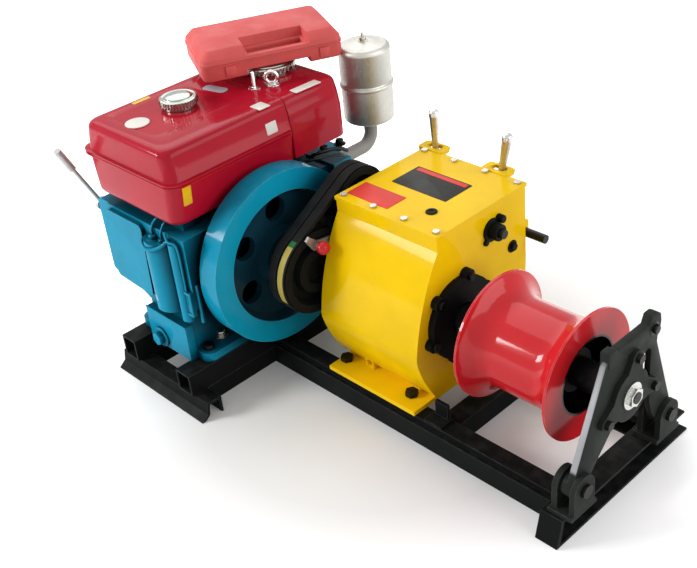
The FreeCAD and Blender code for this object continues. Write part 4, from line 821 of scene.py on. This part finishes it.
def tool_case():
    """A tray and a lid with chamfered sides, both open round the grip, and two latches."""
    hole = case_block(GRIP_LEFT, GRIP_RIGHT, GRIP_NEAR, GRIP_FAR, -1.0, 80.0)
    under = case_block(HANDLE_LEFT, HANDLE_RIGHT, CASE_FRONT - 2.0, GRIP_FAR, -1.0, 14.0)
    tray = [case_ring(6.0, 0.0), case_ring(2.0, 1.5), case_ring(0.0, 6.0), case_ring(0.0, TRAY_TALL - 4.0),
            case_ring(-1.5, TRAY_TALL - 3.5), case_ring(-1.5, TRAY_TALL - 0.3)]
    piece("tool_case_lower", [placed(loft(tray), CASE_PLACE)], case_plastic, "tool_case",
          edge=2.0, cutters=([hole], [under]), stands_for=("tool_case_tray",))
    base, top = TRAY_TALL + 0.3, TRAY_TALL + LID_TALL
    lid = [case_ring(-1.5, base), case_ring(-1.5, base + 3.2), case_ring(0.0, base + 3.7),
           case_ring(1.0, base + 12.0), case_ring(16.0, top - 1.5), case_ring(20.0, top)]
    over = case_block(HANDLE_LEFT, HANDLE_RIGHT, CASE_FRONT - 4.0, GRIP_FAR + 14.0, base + 9.0, top + 8.0)
    lid_hole = case_block(GRIP_LEFT, GRIP_RIGHT, GRIP_NEAR, GRIP_FAR, -1.0, base + 14.0)
    piece("tool_case_upper", [placed(loft(lid), CASE_PLACE)], case_plastic, "tool_case_lid",
          edge=2.0, cutters=([over], [lid_hole]), stands_for=("tool_case_lid",))
    latches = [case_block(x - 12.0, x + 12.0, CASE_FRONT - 3.5, CASE_FRONT + 2.0, 8.0, TRAY_TALL - 6.0)
               for x in LATCHES]
    piece("tool_case_latches", latches, case_plastic, "tool_case", edge=1.5)


tool_case()


# Engine face trim

BLOCK_NEAR, BLOCK_RIGHT = -330.0, 85.0
LEDGE_NEAR, LEDGE_TOP = -350.0, 187.0
DRAIN_X, DRAIN_Z = -50.0, 122.0
POCKET_LIP = ((-64, -330, 381), (-54, -346, 373), (-17, -359, 373), (18, -350, 386), (36, -333, 403))
RIB_TOP = ((30, -336, 417), (52, -346, 410), (70, -338, 398), (70, -336, 320), (66, -335, 230))
FUEL_PIPE = ((-24, -334, 397), (-24, -334, 412), (-18, -326, 430), (-6, -306, 446))
BLEED_PIPE = ((6, -332, 394), (6, -332, 408), (10, -324, 428), (16, -304, 446))
UPPER_PIPE = ((60, 66, 446), (80, 82, 455), (88, 106, 455), (88, 136, 446), (84, 158, 430))
LOWER_PIPE = ((70, 36, 446), (92, 58, 452), (97, 92, 446), (95, 124, 436), (88, 146, 422))
OVERFLOW_PIPE = ((-36, -336, 262), (-31, -349, 254), (-22, -353, 240), (-16, -350, 226))


def engine_rims():
    """Cast rims: the slanted lip of the pump pocket, the rib's top and the ledge's edge."""
    ledge = tube([(-97, LEDGE_NEAR + 1, LEDGE_TOP), (53, LEDGE_NEAR + 1, LEDGE_TOP)], 2.4)
    shapes = [tube(curve(POCKET_LIP), 4.5), tube(curve(RIB_TOP), 3.0), ledge]
    piece("engine_rims", shapes, engine_blue)


def engine_bosses():
    """A square boss beside the rib, a round pad under the drain plug and a rib on the right face."""
    boss = prism(rounded_rect(56.0, 84.0, BLOCK_NEAR - 10.0, BLOCK_NEAR + 4.0, 3.0, 4), 224.0, 286.0)
    window = prism(rounded_rect(61.0, 79.0, BLOCK_NEAR - 14.0, BLOCK_NEAR - 7.0, 2.0, 4), 231.0, 279.0)
    piece("engine_square_boss", [boss], engine_blue, edge=2.0, cutters=([window],))
    pad = lathe([(0.0, 21.0), (3.0, 21.0), (5.0, 19.0)], 36)
    place = stand(DRAIN_X, LEDGE_NEAR + 0.5, DRAIN_Z, "y") @ TURNED_OVER
    piece("drain_pad", [placed(pad, place)], engine_blue)
    rib = tube([(BLOCK_RIGHT + 1, -318, 204), (BLOCK_RIGHT + 1, -318, 302)], 5.0)
    piece("engine_side_rib", [rib], engine_blue)


def fuel_fittings():
    """The pump's union nuts and the two pipes that leave it upwards."""
    nuts = hex_bolt(18.0, 11.0, 2.0, stand(-24.0, -334.0, 386.0))
    nuts += hex_bolt(14.0, 8.0, 2.0, stand(6.0, -332.0, 386.0))
    pipes = [tube(curve(FUEL_PIPE), 3.2, 12), tube(curve(BLEED_PIPE), 2.6, 12)]
    piece("fuel_fittings", nuts + pipes, engine_blue, edge=0.3)


def injection_pipes():
    """Two pipes and two union nuts beside the hood's foot; they stop short of the cylinder head."""
    shapes = [tube(curve(UPPER_PIPE), 4.5, 14), tube(curve(LOWER_PIPE), 3.6, 14)]
    for x, y in ((66.0, 104.0), (70.0, 150.0)):
        shapes += hex_bolt(17.0, 11.0, 2.0, stand(x, y, 446.0))
    piece("injection_pipes", shapes, dark_steel, edge=0.4)


def engine_fasteners():
    """The painted drain plug, a foot stud beside the column and a pale overflow pipe."""
    plug = hex_bolt(29.0, 14.0, 5.0, stand(DRAIN_X, LEDGE_NEAR, DRAIN_Z, "y") @ TURNED_OVER)
    piece("drain_plug_head", plug, engine_blue, edge=0.8)
    stud = hex_bolt(19.0, 12.0, 3.0, stand(52.0, -259.0, 117.0))
    piece("engine_foot_stud", stud, zinc, edge=0.5)
    piece("overflow_pipe", [tube(curve(OVERFLOW_PIPE), 5.0)], satin_zinc)


engine_rims()
engine_bosses()
fuel_fittings()
injection_pipes()
engine_fasteners()


# Gearbox trim

BOX_TOP, BOX_END, LEVER_DEEP = 462.0, 556.0, 244.0
LEVERS = {"speed_lever": (288.0, 0.0), "shift_lever": (472.0, 11.7)}
LEVER_PIVOT, LEVER_LENGTH, LEVER_TIP_RADIUS = 430.0, 118.0, 11.5
SHIFT_BOSS, DRAIN_PLUG, OIL_PLUG = (113.0, 402.0), (179.0, 330.0), (481.0, 17.0)
ROD_RADIUS, ROD_PLAY = 10.0, 0.4


def on_box(x, y):
    """A place on the gearbox's top plate."""
    return stand(x, y, BOX_TOP)


def on_end(y, z):
    """A place on the gearbox's end towards the drum."""
    return stand(BOX_END, y, z, "x")


def gearbox_plates():
    """A dark plate with a red band and a plain red plate, both without marks."""
    blank_plate("gearbox_dark_plate", 154.0, 86.0, 2.0, on_box(399.0, 108.0), plate_dark, 0.8)
    blank_plate("gearbox_band_plate", 140.0, 13.0, 1.5, on_box(399.0, 141.0), plate_red, 1.2)
    blank_plate("gearbox_red_plate", 120.0, 59.0, 2.0, on_box(339.0, 1.0), plate_red, 0.8)


def lever_guides():
    """A painted flange with a slot round each lever, and the lever's rounded end."""
    for name, (x, lean) in LEVERS.items():
        place = on_box(x, LEVER_DEEP)
        flange = placed(prism(rounded_rect(-36.0, 36.0, -22.0, 15.0, 9.0, 6), -0.4, 2.2), place)
        slot = placed(prism(rounded_rect(-19.0, 19.0, -10.0, 10.0, 9.5, 6), -2.0, 4.0), place)
        piece(f"{name}_flange", [flange], box_yellow, edge=0.6, cutters=([slot],))
        groove = [(LEVER_LENGTH - 11.0, LEVER_TIP_RADIUS - 0.8),
                  (LEVER_LENGTH - 10.0, LEVER_TIP_RADIUS + 0.5)]
        dome = bow(LEVER_LENGTH - 1.0, 0.0, 7.0, LEVER_TIP_RADIUS, (0, 20, 40, 60, 75, 86))
        pivot = Matrix.Translation((x, LEVER_DEEP, LEVER_PIVOT)) @ Matrix.Rotation(math.radians(lean), 4, "Y")
        piece(f"{name}_tip", [placed(lathe(groove + dome, 32), pivot)], bright_steel, name)


def gearbox_fittings():
    """The shift rod's boss on its pad with two small lugs, the drain plug and the flat oil plug."""
    bore = ROD_RADIUS + ROD_PLAY
    boss = sleeve([(4.0, 18.5), (24.5, 18.5), (26.0, 17.0), (26.0, bore), (4.0, bore)])
    pad = sleeve([(0.0, 26.0), (5.0, 26.0), (5.0, bore), (0.0, bore)])
    lug = lathe([(0.0, 9.0), (15.0, 9.0), (17.0, 7.0)], 28)
    low_lug = lathe([(0.0, 7.0), (5.0, 7.0), (6.0, 6.0)], 24)
    oil = lathe([(0.0, 12.5), (2.0, 12.5), (3.0, 11.5), (3.0, 6.0), (1.5, 5.0), (1.5, 1.0)], 36)
    y, z = SHIFT_BOSS
    shapes = [placed(boss, on_end(y, z)), placed(pad, on_end(y, z)),
              placed(lug, on_end(y + 22.0, z + 19.0)), placed(low_lug, on_end(y - 20.0, z - 22.0)),
              *hex_bolt(17.0, 7.0, 2.0, on_end(*DRAIN_PLUG)), placed(oil, on_box(*OIL_PLUG))]
    piece("gearbox_fittings", shapes, cast_black, edge=0.5, stands_for=("gearbox_plugs",))


def foot_lug():
    """A square lifting lug with a hole, on the near foot flange."""
    lug = block(352.0, 378.0, -90.0, -66.0, 66.0, 100.0)
    hole = placed(lathe([(-30.0, 8.0), (30.0, 8.0)], 24), stand(365.0, -80.0, 86.0, "y"))
    piece("gearbox_foot_lug", [lug], box_yellow, edge=2.0, cutters=([hole],))


gearbox_plates()
lever_guides()
gearbox_fittings()
foot_lug()


# Outboard support

SUPPORT_BACK, HEAD_BACK, WEB_BACK, SUPPORT_FRONT = 938.0, 946.0, 950.0, 964.0
PIN = (140.0, 116.0)
EYE_RADIUS, BOSS_RADIUS = 24.0, 53.0
LEG_LEAN = math.degrees(math.atan2(93.0, 220.0))
LUG_BOLT = (80.0, 352.0)
HEAD = [(-62.0, 340.0), (-62.0, 370.0), (-59.0, 373.0), (-41.0, 373.0), (-38.0, 370.0), (-35.0, 365.0),
        (64.0, 365.0), (72.0, 383.0), (89.0, 383.0), (101.0, 375.0), (104.0, 358.0), (101.0, 332.0),
        (92.0, 326.0), (60.0, 338.0), (-50.0, 336.0)]
WEB_TOP = [(-69.0, 345.0), (-58.0, 358.0), (-56.0, 361.0), (96.0, 361.0), (99.0, 352.0), (97.0, 312.0)]
FAR_LEG = [(96.0, 138.0), (86.0, 168.0), (81.0, 205.0), (79.0, 250.0)]
NEAR_LEG = [(-34.0, 194.0)]


def support_web():
    """Outline of the casting's web: two legs, a straight top under the head, and the boss."""
    near_eye = arc((-PIN[0], PIN[1]), EYE_RADIUS, 340.0, 180.0 - LEG_LEAN, 12)
    far_eye = arc(PIN, EYE_RADIUS, LEG_LEAN, -160.0, 12)
    slot_end = arc((66.0, 298.0), 13.0, 0.0, 180.0, 8)
    boss = arc(DRUM_AXIS, BOSS_RADIUS, 20.0, -105.0, 14)
    return near_eye + WEB_TOP + far_eye + FAR_LEG + slot_end + boss + NEAR_LEG


def outboard_support():
    """A cast frame: thin web, thick eyes at the pins, a thick head and a bolt in its far lug."""
    shapes = [placed(prism(HEAD[::-1], HEAD_BACK, SUPPORT_FRONT + 2.0), AXES["x"])]
    for side in (-1.0, 1.0):
        eye = arc((side * PIN[0], PIN[1]), EYE_RADIUS + 1.0, 0.0, 350.0, 35)
        shapes.append(placed(prism(eye, SUPPORT_BACK + 0.4, SUPPORT_FRONT - 0.4), AXES["x"]))
    piece("support_head", shapes, plain_grey, edge=2.0, segments=3)
    web = placed(prism(support_web()[::-1], WEB_BACK, SUPPORT_FRONT), AXES["x"])
    piece("support_web", [web], support_grey, edge=1.6, stands_for=("outboard_support",))
    bolt = hex_bolt(17.0, 8.0, 2.0, stand(SUPPORT_FRONT + 1.0, *LUG_BOLT, "x"))
    piece("support_lug_bolt", bolt, dark_steel, edge=0.5)


outboard_support()


# Belt markings

BELT_RADIUS, MARK_LEFT, MARK_RIGHT, MARK_THICK = 101.0, 233.0, 249.0, 0.5
MARK_STEP = 3.0


def belt_mark(name, start, end, finish):
    """A coloured strip on the outer belt's back where it runs round the crank pulley."""
    inner, outer = BELT_RADIUS - MARK_THICK, BELT_RADIUS + MARK_THICK
    section = ((MARK_LEFT, inner), (MARK_RIGHT, inner), (MARK_RIGHT, outer), (MARK_LEFT, outer))
    count = max(2, int((end - start) / MARK_STEP))
    rings = []
    for i in range(count + 1):
        angle = math.radians(start + (end - start) * i / count)
        rings.append([(x, CRANK[0] + radius * math.cos(angle), CRANK[1] + radius * math.sin(angle))
                      for x, radius in section])
    piece(name, [loft(rings)], finish)


belt_mark("belt_mark_long", 125.0, 203.0, strip_yellow)
belt_mark("belt_mark_short", 117.0, 124.5, strip_green)


# Camera, light and floor

CAMERA_PLACE = (1827.4, -1384.1, 1556.3)
AZIMUTH, ELEVATION, ROLL = (math.radians(a) for a in (49.28, 32.75, -6.41))
PHOTO_WIDTH, FOCAL_PIXELS, SENSOR = 697.0, 1094.3, 36.0
AMBIENT = 0.40
LIGHT_AIM = 0.3
WHITE = (1.0, 1.0, 1.0, 1.0)
FLOOR_HALF, FLOOR_DROP = 6.0, 0.0005
FLOOR_TONES = ((0.80, 0.80, 0.80, 1.0), (0.84, 0.84, 0.84, 1.0))
GLOW_FROM, GLOW_TO, GLOW_NEAR, GLOW_FAR = 0.42, 1.15, 0.05, 0.90


def camera():
    """The photograph's camera."""
    back = Vector((math.sin(AZIMUTH) * math.cos(ELEVATION), -math.cos(AZIMUTH) * math.cos(ELEVATION),
                   math.sin(ELEVATION)))
    level_right = Vector((math.cos(AZIMUTH), math.sin(AZIMUTH), 0.0))
    level_up = back.cross(level_right)
    right = math.cos(ROLL) * level_right + math.sin(ROLL) * level_up
    up = back.cross(right)
    data = bpy.data.cameras.new("camera")
    data.sensor_fit = "HORIZONTAL"
    data.sensor_width = SENSOR
    data.lens = FOCAL_PIXELS / PHOTO_WIDTH * SENSOR
    item = bpy.data.objects.new("camera", data)
    axes = Matrix((right, up, back)).transposed().to_4x4()
    item.matrix_world = Matrix.Translation(at(*CAMERA_PLACE)) @ axes
    bpy.context.scene.collection.objects.link(item)
    bpy.context.scene.camera = item


def softbox(name, direction, distance, width, height, power):
    """A rectangular lamp that faces the part."""
    data = bpy.data.lights.new(name, "AREA")
    data.shape = "RECTANGLE"
    data.size, data.size_y = width, height
    data.energy = power
    item = bpy.data.objects.new(name, data)
    way = Vector(direction).normalized()
    item.location = way * distance + Vector((0.0, 0.0, LIGHT_AIM))
    item.rotation_euler = way.to_track_quat("Z", "Y").to_euler()
    bpy.context.scene.collection.objects.link(item)


def seen_rays(tree, path):
    """1 for rays from the camera, from a reflection or through glass."""
    total = path.outputs["Is Camera Ray"]
    for kind in ("Is Glossy Ray", "Is Transmission Ray"):
        node = tree.nodes.new("ShaderNodeMath")
        node.operation = "MAXIMUM"
        tree.links.new(total, node.inputs[0])
        tree.links.new(path.outputs[kind], node.inputs[1])
        total = node.outputs["Value"]
    return total


def world():
    """A white surrounding that lights the part less than it shows."""
    scene = bpy.context.scene
    scene.world = bpy.data.worlds.new("studio")
    scene.world.use_nodes = True
    tree = scene.world.node_tree
    background = tree.nodes["Background"]
    background.inputs["Color"].default_value = WHITE
    path = tree.nodes.new("ShaderNodeLightPath")
    strength = tree.nodes.new("ShaderNodeMapRange")
    strength.inputs["To Min"].default_value = AMBIENT
    strength.inputs["To Max"].default_value = 1.0
    tree.links.new(seen_rays(tree, path), strength.inputs["Value"])
    tree.links.new(strength.outputs["Result"], background.inputs["Strength"])


def floor():
    """A pale floor that fades to white away from the part."""
    half = FLOOR_HALF
    mesh = bpy.data.meshes.new("floor")
    mesh.from_pydata([(-half, -half, 0), (half, -half, 0), (half, half, 0), (-half, half, 0)], [],
                     [(0, 1, 2, 3)])
    item = bpy.data.objects.new("floor", mesh)
    item.location.z = -FLOOR_DROP
    bpy.context.scene.collection.objects.link(item)
    f = Finish("floor_white")
    f.set(Base_Color=f.mix(f.noise(2.0), *FLOOR_TONES), Roughness=0.7)
    path = f.node("ShaderNodeLightPath")
    f.shader.inputs["Emission Color"].default_value = WHITE
    distance = f.node("ShaderNodeVectorMath", operation="LENGTH")
    f.feed(distance.inputs[0], f.place)
    glow = f.span(distance.outputs["Value"], GLOW_FROM, GLOW_TO, GLOW_NEAR, GLOW_FAR)
    f.set(Emission_Strength=f.sum("MULTIPLY", seen_rays(f.tree, path), glow))
    mesh.materials.append(f.material)


camera()
world()
floor()
softbox("window_light", (-0.60, -0.70, 0.40), 5.0, 1.75, 1.15, 165.0)
softbox("top_light", (-0.58, 0.27, 0.77), 4.5, 4.6, 3.8, 98.0)
softbox("fill_light", (0.86, 0.28, 0.42), 5.0, 4.6, 3.8, 142.0)
bpy.context.scene.view_settings.view_transform = "Standard"
